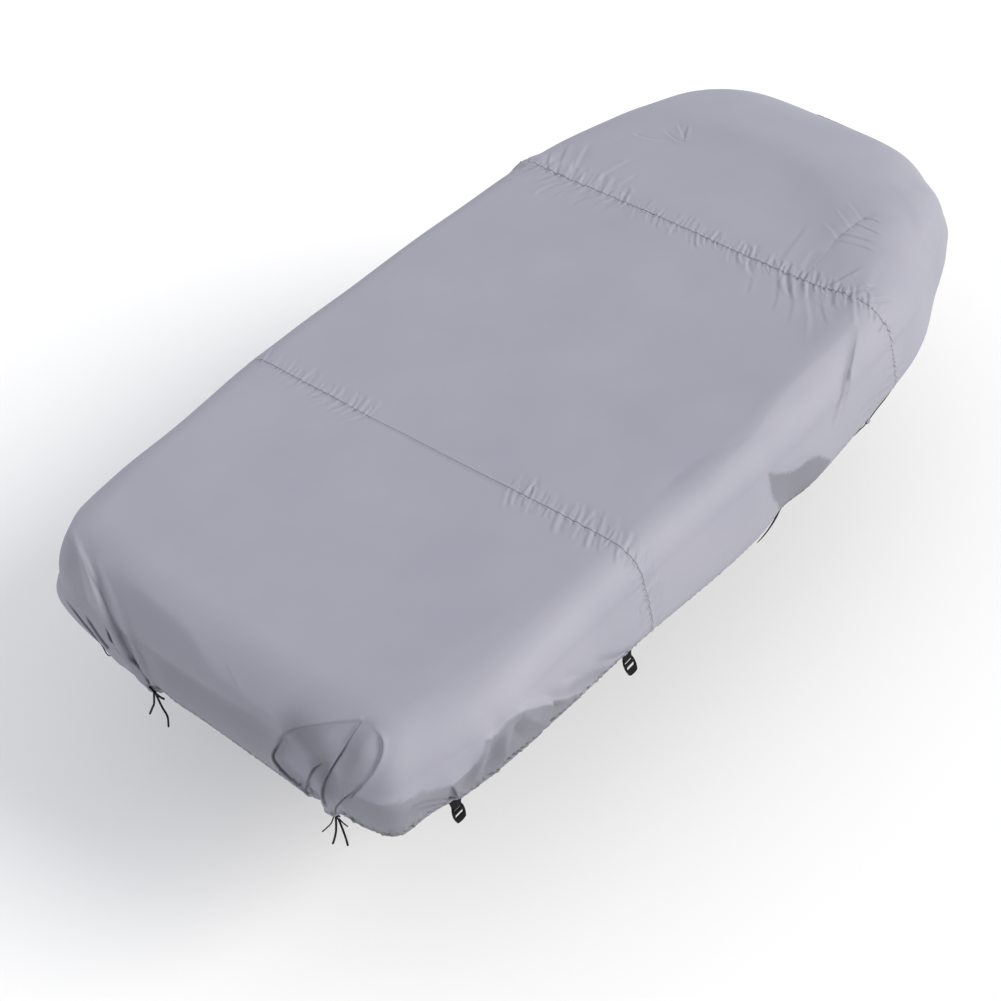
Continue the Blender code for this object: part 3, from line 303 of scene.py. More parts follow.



# Creases, finer than the folds. "start" and "end" are a crease's strength at its two ends,
# "edge" the half-width of its step, and "gap" how far it closes, sunk and with painted shade.
Crease = namedtuple("Crease", "name route left_reach left_lift right_reach right_lift edge "
                              "start end gap", defaults=(0.0,))
LONG_CREASE = ((0.625, -0.752, -0.008), (0.566, -0.780, -0.022), (0.499, -0.811, -0.049),
               (0.461, -0.822, -0.073), (0.428, -0.830, -0.103), (0.374, -0.845, -0.143))
LOBE_HOLLOW = ((-1.543, -0.370, -0.109), (-1.550, -0.432, -0.122), (-1.554, -0.458, -0.158),
               (-1.575, -0.495, -0.193))
CREASES = [Crease(*row) for row in (
    ("starboard lobe, aft gap",
     ((-1.577, -0.384, -0.280), (-1.581, -0.334, -0.259), (-1.580, -0.305, -0.242),
      (-1.577, -0.290, -0.225), (-1.565, -0.294, -0.194), (-1.552, -0.310, -0.151)),
     0.010, 0.0045, 0.016, -0.005, 0.002, 0.8, 0.1, 0.9),
    ("starboard lobe, top edge",
     ((-1.552, -0.310, -0.151), (-1.545, -0.335, -0.118), (-1.530, -0.384, -0.072),
      (-1.492, -0.471, -0.026), (-1.451, -0.549, -0.002)),
     0.016, 0.002, 0.050, -0.010, 0.004, 0.5, 0.8, 0.1),
    ("starboard lobe, inner crease",
     ((-1.574, -0.408, -0.301), (-1.573, -0.399, -0.281), (-1.571, -0.423, -0.220),
      (-1.563, -0.438, -0.181), (-1.553, -0.465, -0.154)),
     0.010, 0.0045, 0.018, -0.006, 0.002, 1.0, 0.0, 0.8),
    ("starboard tuck, main gap",
     ((-1.591, -0.497, -0.268), (-1.590, -0.489, -0.243), (-1.581, -0.490, -0.199),
      (-1.565, -0.502, -0.158), (-1.549, -0.529, -0.097), (-1.519, -0.547, -0.049),
      (-1.453, -0.550, -0.003)),
     0.008, 0.005, 0.022, -0.004, 0.002, 1.0, 0.4, 1.0),
    ("starboard tuck, far gap",
     ((-1.560, -0.585, -0.188), (-1.542, -0.614, -0.140), (-1.522, -0.644, -0.082),
      (-1.491, -0.651, -0.043), (-1.469, -0.642, -0.022), (-1.458, -0.626, -0.011),
      (-1.451, -0.600, -0.003)),
     0.034, -0.011, 0.012, 0.0055, 0.004, 0.8, 0.2, 0.20),
    ("starboard gather",
     ((-1.582, -0.521, -0.296), (-1.586, -0.532, -0.259), (-1.580, -0.551, -0.224),
      (-1.571, -0.567, -0.199), (-1.558, -0.586, -0.175)),
     0.008, 0.003, 0.010, -0.003, 0.002, 1.0, 0.2, 1.0),
    ("quarter crease 1",
     ((-1.347, -0.737, -0.314), (-1.424, -0.744, -0.226), (-1.470, -0.733, -0.205),
      (-1.500, -0.724, -0.205)), 0.014, 0.003, 0.009, -0.0035, 0.003, 1.0, 0.0, 0.3),
    ("quarter crease 2",
     ((-1.353, -0.734, -0.319), (-1.420, -0.733, -0.271), (-1.501, -0.724, -0.209)),
     0.012, 0.003, 0.010, -0.003, 0.003, 1.0, 0.0, 0.3),
    ("quarter crease at the tab",
     ((-1.336, -0.751, -0.296), (-1.354, -0.761, -0.238), (-1.369, -0.766, -0.192)),
     0.014, -0.003, 0.010, 0.003, 0.002, 1.0, 0.3, 0.5),
    ("quarter ridge D",
     ((-1.257, -0.782, -0.247), (-1.226, -0.779, -0.237), (-1.207, -0.792, -0.208)),
     0.014, 0.004, 0.012, -0.002, 0.004, 0.8, 0.0),
    ("side trough 1",
     ((-0.795, -0.818, -0.247), (-0.879, -0.817, -0.181), (-0.941, -0.809, -0.145)),
     0.012, -0.004, 0.024, -0.005, 0.004, 0.9, 0.0),
    ("side trough 2",
     ((-0.875, -0.807, -0.266), (-0.961, -0.810, -0.197), (-1.044, -0.811, -0.138)),
     0.012, -0.0045, 0.026, -0.006, 0.004, 0.9, 0.3),
    ("side trough 3",
     ((-0.653, -0.814, -0.291), (-0.708, -0.822, -0.256), (-0.773, -0.822, -0.207)),
     0.010, -0.003, 0.020, -0.004, 0.004, 1.0, 0.0, 0.1),
    ("port corner, outer crease",
     ((-1.572, 0.241, -0.263), (-1.565, 0.289, -0.212), (-1.555, 0.331, -0.170),
      (-1.543, 0.366, -0.129), (-1.526, 0.409, -0.084), (-1.508, 0.454, -0.055),
      (-1.484, 0.509, -0.033), (-1.449, 0.578, -0.019)),
     0.016, 0.004, 0.016, -0.005, 0.003, 1.0, 0.1, 0.35),
    ("port corner, second crease",
     ((-1.575, 0.310, -0.217), (-1.571, 0.337, -0.203), (-1.560, 0.389, -0.194),
      (-1.552, 0.427, -0.174), (-1.539, 0.465, -0.139), (-1.531, 0.487, -0.099)),
     0.012, -0.003, 0.012, 0.004, 0.003, 1.0, 0.1, 0.3),
    ("port corner, third crease",
     ((-1.569, 0.409, -0.231), (-1.565, 0.443, -0.212), (-1.558, 0.479, -0.189),
      (-1.541, 0.526, -0.167)), 0.010, 0.0035, 0.009, -0.0035, 0.002, 1.0, 0.1, 0.8),
    ("port corner, hem crease",
     ((-1.555, 0.451, -0.272), (-1.559, 0.483, -0.244), (-1.556, 0.522, -0.218),
      (-1.550, 0.566, -0.194), (-1.539, 0.615, -0.182)),
     0.008, 0.003, 0.008, -0.003, 0.002, 1.0, 0.3, 0.8),
    ("port corner, slit",
     ((-1.574, 0.319, -0.215), (-1.567, 0.360, -0.205), (-1.559, 0.388, -0.186),
      (-1.546, 0.421, -0.149)), 0.008, 0.0035, 0.008, -0.0035, 0.002, 0.8, 0.1, 1.0),
    ("port corner, lower slit",
     ((-1.571, 0.237, -0.275), (-1.572, 0.252, -0.239), (-1.566, 0.286, -0.218),
      (-1.562, 0.316, -0.189)), 0.008, 0.003, 0.008, -0.003, 0.002, 1.0, 0.1, 0.9),
    ("port corner, last fold",
     ((-1.566, 0.204, -0.261), (-1.561, 0.229, -0.212), (-1.552, 0.275, -0.162),
      (-1.545, 0.324, -0.113)), 0.014, -0.002, 0.016, 0.004, 0.004, 1.0, 0.0, 0.15),
    ("stern dimple",
     ((-1.526, 0.029, -0.074), (-1.535, 0.016, -0.092), (-1.540, -0.002, -0.105)),
     0.007, 0.002, 0.007, -0.002, 0.002, 0.3, 0.3),
    ("stern wrinkle 1",
     ((-1.497, -0.065, -0.037), (-1.520, -0.122, -0.063), (-1.541, -0.166, -0.099)),
     0.014, 0.0018, 0.014, -0.0018, 0.004, 0.0, 0.2),
    ("stern wrinkle 2",
     ((-1.519, -0.126, -0.061), (-1.533, -0.170, -0.082)),
     0.010, 0.0015, 0.010, -0.0015, 0.004, 0.2, 0.2),
    ("dart", ((0.747, -0.472, 0.000), (0.802, -0.470, -0.001), (0.857, -0.467, -0.002),
      (0.910, -0.463, -0.001)), 0.012, 0.0022, 0.016, -0.0014, 0.002, 0.9, 0.5, 0.40),
    ("dart, puckered end",
     ((0.910, -0.463, -0.001), (0.972, -0.456, 0.000), (1.023, -0.461, 0.002),
      (1.095, -0.468, 0.005), (1.128, -0.482, 0.006)),
     0.016, -0.0036, 0.014, -0.0024, 0.003, 0.7, 0.4, 0.22),
    ("dart pucker 1", ((1.093, -0.465, 0.005), (1.123, -0.414, 0.005), (1.143, -0.377, 0.006)),
     0.011, 0.0019, 0.011, -0.0019, 0.004, 1.0, 0.0, 0.1),
    ("dart pucker 3", ((1.105, -0.470, 0.005), (1.112, -0.496, 0.005), (1.114, -0.528, 0.005)),
     0.009, 0.0017, 0.009, -0.0017, 0.003, 1.0, 0.0, 0.1),
    ("dart pucker 4", ((0.992, -0.458, 0.001), (1.001, -0.503, 0.002), (1.015, -0.584, 0.003)),
     0.012, 0.0022, 0.010, -0.0019, 0.004, 1.0, 0.0, 0.05),
    ("dart pucker 5", ((0.956, -0.465, 0.001), (0.970, -0.543, 0.002), (0.971, -0.600, 0.003)),
     0.012, 0.0019, 0.012, -0.0019, 0.004, 1.0, 0.0),
    ("dart pucker 6", ((1.062, -0.466, 0.004), (1.060, -0.522, 0.004), (1.062, -0.565, 0.003)),
     0.010, 0.0019, 0.010, -0.0017, 0.004, 1.0, 0.0, 0.05),
    ("dart pucker 7", ((0.964, -0.458, 0.000), (0.987, -0.423, 0.001), (1.018, -0.368, 0.003)),
     0.012, 0.0017, 0.012, -0.0017, 0.004, 1.0, 0.0),
    ("dart pucker 8", ((1.035, -0.461, 0.003), (1.062, -0.416, 0.004), (1.096, -0.363, 0.005)),
     0.012, 0.0019, 0.012, -0.0019, 0.004, 1.0, 0.0, 0.05),
    ("port bow pucker 1", ((1.089, 0.379, 0.008), (1.072, 0.437, 0.009), (1.076, 0.476, 0.008)),
     0.010, 0.0021, 0.010, -0.0021, 0.004, 0.6, 0.0),
    ("port bow pucker 2",
     ((1.131, 0.281, 0.008), (1.121, 0.308, 0.008), (1.130, 0.349, 0.008), (1.148, 0.398, 0.008)),
     0.010, 0.0024, 0.010, -0.0024, 0.003, 0.5, 0.0, 0.05),
    ("port bow pucker 3", ((1.142, 0.297, 0.008), (1.179, 0.316, 0.008), (1.217, 0.335, 0.008)),
     0.012, -0.0021, 0.010, 0.0024, 0.003, 0.8, 0.0),
    ("port bow pucker 4", ((1.077, 0.441, 0.008), (1.029, 0.470, 0.009), (0.962, 0.507, 0.009)),
     0.012, 0.0015, 0.012, -0.0015, 0.005, 0.8, 0.0),
    ("port bow pucker 5", ((1.150, 0.307, 0.008), (1.173, 0.337, 0.008), (1.204, 0.378, 0.008)),
     0.010, 0.0021, 0.012, -0.0021, 0.004, 0.8, 0.0),
    ("forward seam, aft fold 1",
     ((0.728, -0.455, 0.002), (0.676, -0.471, 0.002), (0.616, -0.521, 0.004),
      (0.502, -0.576, 0.007)), 0.016, 0.002, 0.014, -0.0018, 0.007, 1.0, 0.0),
    ("forward seam, aft fold 2",
     ((0.728, -0.500, 0.002), (0.678, -0.530, 0.003), (0.623, -0.577, 0.006),
      (0.564, -0.624, 0.007), (0.477, -0.669, 0.008)),
     0.018, -0.002, 0.016, 0.0023, 0.008, 1.0, 0.0),
    ("forward seam, aft fold 3", ((0.726, -0.548, 0.004), (0.638, -0.619, 0.006),
      (0.575, -0.685, 0.008)), 0.014, 0.0018, 0.014, -0.0018, 0.006, 1.0, 0.0),
    ("forward seam, aft fold 4", ((0.728, -0.405, 0.002), (0.680, -0.422, 0.002),
      (0.609, -0.464, 0.004), (0.531, -0.495, 0.006)),
     0.014, 0.0018, 0.012, -0.0016, 0.006, 1.0, 0.0),
    ("forward seam, aft fold 5", ((0.728, -0.290, 0.004), (0.690, -0.313, 0.004),
      (0.624, -0.352, 0.004), (0.561, -0.377, 0.005)),
     0.014, 0.0014, 0.012, -0.0014, 0.006, 1.0, 0.0),
    ("forward seam, side fold 1", ((0.748, -0.640, 0.006), (0.774, -0.653, 0.006),
      (0.803, -0.668, 0.006), (0.836, -0.690, 0.003)),
     0.014, 0.005, 0.012, -0.0045, 0.004, 1.0, 0.0, 0.2),
    ("forward seam, side fold 2", ((0.748, -0.700, 0.004), (0.790, -0.722, -0.006),
      (0.845, -0.735, -0.030)), 0.012, 0.004, 0.012, -0.004, 0.004, 1.0, 0.0, 0.1),
    ("forward seam, side fold 3", ((0.748, -0.562, 0.003), (0.789, -0.577, 0.003),
      (0.839, -0.592, 0.003), (0.890, -0.611, 0.004)),
     0.020, -0.0045, 0.016, 0.0035, 0.006, 1.0, 0.0),
    ("forward seam, fore fold 1", ((0.752, -0.366, 0.001), (0.855, -0.348, 0.001),
      (0.924, -0.339, 0.002), (0.990, -0.326, 0.004)),
     0.018, -0.0021, 0.018, 0.0018, 0.009, 1.0, 0.0),
    ("forward seam, fore fold 2", ((0.752, -0.450, -0.001), (0.826, -0.430, -0.002),
      (0.893, -0.419, -0.001)), 0.016, 0.0021, 0.016, -0.0018, 0.008, 1.0, 0.0),
    ("forward seam, port flute 1", ((0.751, 0.548, 0.016), (0.810, 0.582, 0.013),
      (0.866, 0.610, 0.010), (0.919, 0.630, 0.005)),
     0.016, -0.003, 0.016, 0.003, 0.006, 1.0, 0.0),
    ("forward seam, port flute 2", ((0.743, 0.488, 0.015), (0.808, 0.518, 0.014),
      (0.889, 0.551, 0.011), (0.949, 0.572, 0.009)),
     0.018, 0.003, 0.018, -0.003, 0.007, 1.0, 0.0),
    ("forward seam, port flute 3", ((0.749, 0.594, 0.016), (0.792, 0.625, 0.015),
      (0.841, 0.653, 0.004)), 0.014, -0.0027, 0.014, 0.0027, 0.005, 1.0, 0.0, 0.1),
    ("forward seam, port flute 4", ((0.750, 0.403, 0.015), (0.832, 0.405, 0.014),
      (0.905, 0.395, 0.012), (0.962, 0.387, 0.010)),
     0.016, 0.0021, 0.014, -0.0024, 0.006, 0.6, 0.0),
    ("forward seam, port flute 5", ((0.748, 0.334, 0.015), (0.823, 0.323, 0.015),
      (0.915, 0.316, 0.012)), 0.014, 0.0018, 0.014, -0.0018, 0.006, 0.6, 0.0),
    ("forward seam, port sweep 1", ((0.730, 0.485, 0.013), (0.686, 0.522, 0.011),
      (0.643, 0.540, 0.010), (0.600, 0.545, 0.009)),
     0.016, -0.0024, 0.014, 0.0024, 0.005, 1.0, 0.0),
    ("forward seam, port sweep 2", ((0.732, 0.522, 0.014), (0.705, 0.555, 0.012),
      (0.660, 0.578, 0.010)), 0.012, 0.0021, 0.012, -0.0021, 0.005, 1.0, 0.0),
    ("forward seam, port sweep 3", ((0.732, 0.345, 0.015), (0.685, 0.375, 0.013),
      (0.614, 0.397, 0.010)), 0.014, 0.0018, 0.014, -0.0018, 0.006, 1.0, 0.0),
    ("forward seam, port sweep 4", ((0.732, 0.424, 0.014), (0.683, 0.462, 0.012),
      (0.623, 0.488, 0.010)), 0.014, 0.0021, 0.014, -0.0021, 0.006, 1.0, 0.0),
    ("forward seam, port roll", ((0.728, 0.600, 0.010), (0.728, 0.680, 0.004),
      (0.728, 0.750, -0.014), (0.728, 0.800, -0.068), (0.728, 0.830, -0.130)),
     0.016, 0.007, 0.016, 0.007, 0.004, 0.0, 0.3),
    ("starboard side, long crease", LONG_CREASE,
     0.016, 0.0035, 0.012, -0.0045, 0.005, 0.2, 0.6, 0.05),
    ("starboard side, hem pucker 1", ((0.673, -0.840, -0.239), (0.609, -0.844, -0.223),
      (0.530, -0.847, -0.205)), 0.012, 0.004, 0.010, -0.0035, 0.004, 1.0, 0.0, 0.1),
    ("starboard side, hem pucker 2", ((0.590, -0.845, -0.232), (0.533, -0.849, -0.215),
      (0.473, -0.852, -0.214)), 0.012, 0.0035, 0.010, -0.0035, 0.004, 1.0, 0.0, 0.1),
    ("starboard side, hem pucker 3", ((0.735, -0.834, -0.225), (0.675, -0.839, -0.214),
      (0.618, -0.843, -0.219)), 0.012, 0.0035, 0.012, -0.003, 0.004, 1.0, 0.0, 0.1),
)]
# Wider folded planes, whose two sides meet at an edge.
FACETS = [Crease(*row) for row in (
    ("starboard corner, undercut",
     ((-1.563, -0.580, -0.189), (-1.555, -0.628, -0.191), (-1.536, -0.686, -0.183),
      (-1.510, -0.717, -0.191), (-1.478, -0.730, -0.198), (-1.439, -0.742, -0.207),
      (-1.393, -0.756, -0.210), (-1.356, -0.770, -0.189)),
     0.050, 0.008, 0.040, 0.008, 0.006, 0.3, 0.8),
    ("quarter, turned edge",
     ((-1.366, -0.767, -0.190), (-1.311, -0.783, -0.178), (-1.264, -0.795, -0.133),
      (-1.244, -0.792, -0.109), (-1.202, -0.797, -0.122), (-1.160, -0.797, -0.103),
      (-1.110, -0.801, -0.107)), 0.050, 0.011, 0.040, 0.011, 0.004, 0.8, 0.9),
    ("quarter, turned edge forward",
     ((-1.110, -0.801, -0.107), (-1.030, -0.815, -0.158), (-0.945, -0.809, -0.219),
      (-0.860, -0.801, -0.285)), 0.050, 0.009, 0.035, 0.009, 0.004, 0.9, 0.0),
    ("quarter ridge A",
     ((-1.006, -0.803, -0.278), (-1.062, -0.810, -0.195), (-1.095, -0.807, -0.143),
      (-1.113, -0.800, -0.104)),
     0.022, 0.008, 0.022, 0.008, 0.004, 0.6, 0.6),
    ("quarter ridge B",
     ((-1.165, -0.781, -0.280), (-1.180, -0.803, -0.196), (-1.176, -0.806, -0.142),
      (-1.157, -0.801, -0.112)),
     0.018, 0.008, 0.020, 0.008, 0.004, 0.6, 0.6),
    ("quarter ridge C",
     ((-1.288, -0.775, -0.256), (-1.280, -0.790, -0.191), (-1.262, -0.799, -0.146),
      (-1.233, -0.798, -0.128)),
     0.018, 0.008, 0.018, 0.008, 0.004, 0.6, 0.6),
    ("quarter, hollow 1", ((-1.325, -0.755, -0.275), (-1.310, -0.785, -0.200),
      (-1.285, -0.790, -0.155)), 0.018, -0.005, 0.018, -0.005, 0.004, 0.6, 0.2),
    ("quarter, hollow 2", ((-1.225, -0.785, -0.250), (-1.215, -0.798, -0.180),
      (-1.195, -0.798, -0.130)), 0.016, -0.0055, 0.016, -0.0055, 0.004, 0.6, 0.2),
    ("quarter, hollow 3", ((-1.090, -0.790, -0.270), (-1.130, -0.808, -0.180),
      (-1.140, -0.803, -0.130)), 0.022, -0.007, 0.020, -0.007, 0.004, 0.6, 0.2),
    ("quarter, hollow 4", ((-0.930, -0.805, -0.280), (-0.990, -0.810, -0.210),
      (-1.060, -0.808, -0.140)), 0.024, -0.006, 0.022, -0.006, 0.004, 0.6, 0.0),
    ("bow edge", ((1.206, 0.540, -0.003), (1.250, 0.307, 0.008), (1.272, 0.105, 0.008),
      (1.258, -0.092, 0.008), (1.205, -0.248, 0.008), (1.130, -0.366, 0.006),
      (1.030, -0.450, 0.001), (0.930, -0.530, 0.001), (0.850, -0.600, 0.003),
      (0.790, -0.655, 0.006)),
     0.160, 0.018, 0.120, 0.018, 0.030, 0.3, 0.5),
    ("starboard top edge, aft", ((-0.504, -0.692, 0.012), (-0.613, -0.676, 0.013),
      (-0.733, -0.662, 0.013), (-0.881, -0.638, 0.013), (-1.026, -0.614, 0.012),
      (-1.171, -0.593, 0.011), (-1.321, -0.579, 0.010)),
     0.090, 0.010, 0.130, 0.010, 0.025, 0.2, 0.3),
    ("bow corner", ((1.440, -0.600, -0.240), (1.422, -0.582, -0.183), (1.269, -0.604, -0.058),
      (1.194, -0.572, -0.015)), 0.090, 0.012, 0.090, 0.012, 0.008, 1.0, 0.2),
    ("bow corner, flat forward", ((1.500, -0.420, -0.130), (1.430, -0.440, -0.060),
      (1.330, -0.500, -0.030)), 0.080, -0.012, 0.080, -0.012, 0.006, 1.0, 0.0),
    ("starboard side edge", ((0.725, -0.700, 0.004), (0.614, -0.729, 0.001),
      (0.506, -0.735, 0.003), (0.411, -0.732, 0.005), (0.298, -0.733, 0.006),
      (0.162, -0.747, 0.004), (0.043, -0.761, 0.000), (-0.129, -0.762, 0.000),
      (-0.303, -0.763, -0.002)), 0.050, 0.013, 0.120, 0.013, 0.005, 0.8, 0.1),
    ("port stern corner", ((-1.300, 0.790, -0.020), (-1.398, 0.678, -0.023),
      (-1.473, 0.554, -0.027), (-1.531, 0.441, -0.079), (-1.560, 0.346, -0.166),
      (-1.571, 0.233, -0.259)), 0.060, 0.012, 0.060, 0.012, 0.006, 1.0, 0.5),
    ("stern, lower edge", ((-1.463, 0.515, -0.025), (-1.458, 0.368, -0.012),
      (-1.470, 0.237, -0.018), (-1.486, 0.086, -0.028), (-1.522, -0.030, -0.068),
      (-1.535, -0.175, -0.085), (-1.539, -0.281, -0.088)),
     0.070, 0.008, 0.060, 0.008, 0.006, 0.6, 0.4),
    ("starboard lobe, hollow", LOBE_HOLLOW, 0.055, -0.015, 0.055, -0.015, 0.006, 0.8, 0.6),
    ("starboard lobe, bulge", ((-1.490, -0.595, -0.030), (-1.515, -0.600, -0.065),
      (-1.545, -0.590, -0.110), (-1.573, -0.562, -0.196)),
     0.035, 0.009, 0.030, 0.009, 0.005, 0.6, 0.6),
    ("starboard side, inner band", ((0.068, -0.760, -0.002), (-0.022, -0.739, 0.006),
      (-0.121, -0.701, 0.010), (-0.253, -0.690, 0.011), (-0.396, -0.689, 0.012)),
     0.045, -0.005, 0.040, -0.005, 0.005, 0.4, 0.0),
)]
# Painted shade where the cloth is tucked in or turned under: "lift" is how dark.
SHADES = [Crease(*row) for row in (
    ("stern, turned under", ((-1.462, 0.512, -0.024), (-1.458, 0.368, -0.012),
      (-1.470, 0.237, -0.018), (-1.486, 0.086, -0.028), (-1.522, -0.030, -0.068),
      (-1.535, -0.175, -0.085), (-1.539, -0.281, -0.088), (-1.540, -0.353, -0.101)),
     0.010, 0.00, 0.300, 0.15, 0.012, 0.5, 1.0),
    ("stern, above the hem", ((-1.541, 0.313, -0.109), (-1.546, 0.135, -0.127),
      (-1.547, -0.032, -0.126), (-1.547, -0.196, -0.115), (-1.544, -0.348, -0.118)),
     0.010, 0.00, 0.200, 0.30, 0.016, 0.6, 0.7),
    ("port corner, outer plane", ((-1.421, 0.666, -0.027), (-1.460, 0.586, -0.023),
      (-1.506, 0.518, -0.054), (-1.533, 0.488, -0.107), (-1.548, 0.446, -0.164)),
     0.008, 0.00, 0.140, 0.22, 0.006, 0.6, 0.5),
    ("port corner, shaded plane", ((-1.463, 0.515, -0.025), (-1.514, 0.415, -0.064),
      (-1.541, 0.333, -0.101), (-1.559, 0.272, -0.176), (-1.568, 0.227, -0.261)),
     0.110, 0.15, 0.010, 0.00, 0.006, 0.4, 0.4),
    ("starboard lobe, inside", LOBE_HOLLOW, 0.075, 0.40, 0.060, 0.40, 0.030, 0.9, 1.0),
    ("starboard lobe, fold's side", ((-1.490, -0.590, -0.030), (-1.515, -0.590, -0.065),
      (-1.545, -0.580, -0.110), (-1.573, -0.562, -0.196)),
     0.040, 0.25, 0.045, 0.30, 0.010, 0.7, 1.0),
    ("side trough, lower side", ((-0.928, -0.812, -0.159), (-0.819, -0.821, -0.222),
      (-0.694, -0.804, -0.307)), 0.006, 0.00, 0.034, 0.24, 0.010, 0.1, 1.0),
    ("side trough by the tab", ((-0.799, -0.817, -0.165), (-0.722, -0.824, -0.224),
      (-0.667, -0.823, -0.262)), 0.006, 0.00, 0.024, 0.18, 0.008, 0.1, 1.0),
    ("starboard side, long crease", LONG_CREASE, 0.004, 0.00, 0.020, 0.25, 0.005, 0.4, 0.4),
)]
# The same painted shade in patches of the starboard side, by their outline in x and z.
Patch = namedtuple("Patch", "name outline dull")
PATCHES = [Patch(*row) for row in (
    ("quarter, turned under",
     ((-1.366, -0.190), (-1.311, -0.178), (-1.264, -0.133), (-1.244, -0.109), (-1.202, -0.122),
      (-1.160, -0.103), (-1.110, -0.107), (-1.030, -0.158), (-0.945, -0.219),
      (-0.860, -0.285), (-0.800, -0.420), (-1.340, -0.420)), 0.30),
    ("corner, turned under",
     ((-1.620, -0.175), (-1.560, -0.180), (-1.526, -0.172), (-1.470, -0.170),
      (-1.416, -0.180), (-1.366, -0.190), (-1.340, -0.420), (-1.620, -0.420)), 0.25),
    ("side, turned under by the strap",
     ((0.027, -0.090), (0.082, -0.133), (0.141, -0.170), (0.185, -0.180), (0.224, -0.180),
      (0.268, -0.200), (0.330, -0.260), (0.300, -0.380), (0.100, -0.380), (0.055, -0.240),
      (0.026, -0.178)), 0.36),
)]
PATCH_EDGE = 0.007       # over which a patch's edge fades
PATCH_BEAM = -0.55       # a patch lies to starboard of this y
SHADE_ROUNDNESS = 3.0    # 2 fades evenly, more keeps full for longer
FACET_ROUNDNESS = 1.15   # 1 for a sharp edge, 2 for a rounded one
FACET_HEM = 0.085        # the planes fade out over this height above the hem's edge
CREASE_FAR = 2.6         # times its reach, beyond which a fold or crease lifts nothing
FACET_FAR = 4.0          # the same for a wider plane
SHADE_FAR = 1.6          # and for a shade
ENDS_SHARE = 0.28        # share of a crease's length over which an end fades
OFF_CLOTH = 0.85         # share of a point's height over a route that isn't distance from it
FLAT_FOLDS = tuple("starboard quarter, fold %d" % k for k in (2, 3, 4))
FLAT_SHARE = 0.2         # of those folds' height that is left at the hem
FLAT_HEIGHT = 0.080      # above which they are whole
# a closed crease sinks by GAP_DEPTH and gets painted shade over this half-width
GAP_REACH = 0.0024       # half-width of the dark gap under a closed crease
GAP_DEPTH = 0.0035
CLEAR_REACH = 0.010      # the inner face passes this far clear of a crease on either side
CREASE_CLEAR = 1.6       # and this many times its depth below it
FACET_CLEAR = 0.5        # the same for a wider plane
WAVE_COUNT = 9           # of the top's faint waves
WAVE_LENGTHS = (0.18, 0.6)
WAVE_LIFT = 0.0016       # for each metre of a wave's length

# Ridges and grooves across a seam, from astern, and up the hem: lift, middle, half-width.
SEAM_PROFILE = ((0.0009, -0.006, 0.005), (-0.0016, 0.0, 0.0016), (0.0004, 0.005, 0.004))
HEM_PROFILE = ((0.0010, 0.006, 0.005), (-0.0010, STITCH_HEIGHT, 0.0016),
               (0.0006, STITCH_HEIGHT + 0.006, 0.004))
SEAM_BAND = 0.03         # half-width of the band that a seam shapes
HEM_BAND = 0.05          # and the height of the hem's
# a seam's line is painted dark: painted shade in its groove
SEAM_SHADES = {MID_SEAM_X: 0.30, FORE_SEAM_X: 0.52}     # how dark a seam's line is
SEAM_LINE = 0.0013       # half-width of that line
SEAM_WAVES = (37, 13)    # how fast its darkness comes and goes round the cover
FLAT_SEAM_PLACE = 0.02   # round the cover from its centreline, where the mid seam lies flat
FLAT_SEAM_REACH = 0.27
FLAT_SEAM_SHARE = 0.85   # of its darkness that is gone there

# Pits along the gathered hem, sunk and painted dark: painted shade of the puckers.
PIT_PLACE = 0.0215       # above its edge
PIT_HEIGHT = 0.0095      # half their height
PIT_DEPTH = 0.0026
PIT_COUNT = 370          # round the whole hem
PIT_SLANT = 0.7          # how far they lean along it for their height
PIT_PITCHES = (0.6, 1.4)       # shares of the mean pitch, least and most
PIT_WIDTHS = (0.30, 0.62)      # shares of a pit's own pitch
PIT_STRENGTHS = (0.45, 1.0)
PIT_FADE = 0.16          # share of its pitch over which a pit's side fades
HEM_AROUND = 8.6         # about the length of the hem

# Gathers beside a seam, marked by the distance round the cover from its centreline, starboard
# negative: the seam's x, from, to, one every "pitch", their usual length astern and ahead,
# and how far each way they lean to port.
Gather = namedtuple("Gather", "seam_x start end pitch aft fore lift aft_lean fore_lean")
GATHERS = [Gather(*row) for row in (
    (FORE_SEAM_X, -1.00, -0.72, 0.022, 0.050, 0.052, 0.0036, -0.3,  0.3),
    (FORE_SEAM_X, -0.72, -0.20, 0.016, 0.078, 0.054, 0.0034, -0.8,  0.3),
    (FORE_SEAM_X, -0.20,  0.25, 0.020, 0.050, 0.050, 0.0023, -0.6,  0.3),
    (FORE_SEAM_X,  0.25,  0.72, 0.017, 0.068, 0.084, 0.0032,  0.7,  0.4),
    (FORE_SEAM_X,  0.72,  1.00, 0.019, 0.056, 0.070, 0.0034,  0.5,  0.3),
    (FORE_SEAM_X, -1.00, -0.20, 0.013, 0.014, 0.014, 0.0020, -0.5,  0.3),
    (FORE_SEAM_X, -0.20,  0.25, 0.018, 0.011, 0.011, 0.0014, -0.5,  0.3),
    (FORE_SEAM_X,  0.25,  1.00, 0.015, 0.014, 0.016, 0.0018,  0.5,  0.4),
    (MID_SEAM_X,  -1.05, -0.70, 0.018, 0.050, 0.054, 0.0030, -0.5,  0.4),
    (MID_SEAM_X,  -0.70, -0.30, 0.018, 0.060, 0.072, 0.0027, -0.6,  0.4),
    (MID_SEAM_X,   0.25,  1.00, 0.020, 0.058, 0.062, 0.0027,  0.5,  0.3),
)]
GATHER_REACH = (0.0038, 0.09)  # half-width of the shortest, and more for its length
GATHER_EDGE = 0.55             # half-width of its step, as a share of its own
GATHER_BEND = 1.3              # above 1 a gather leans more and more along its length
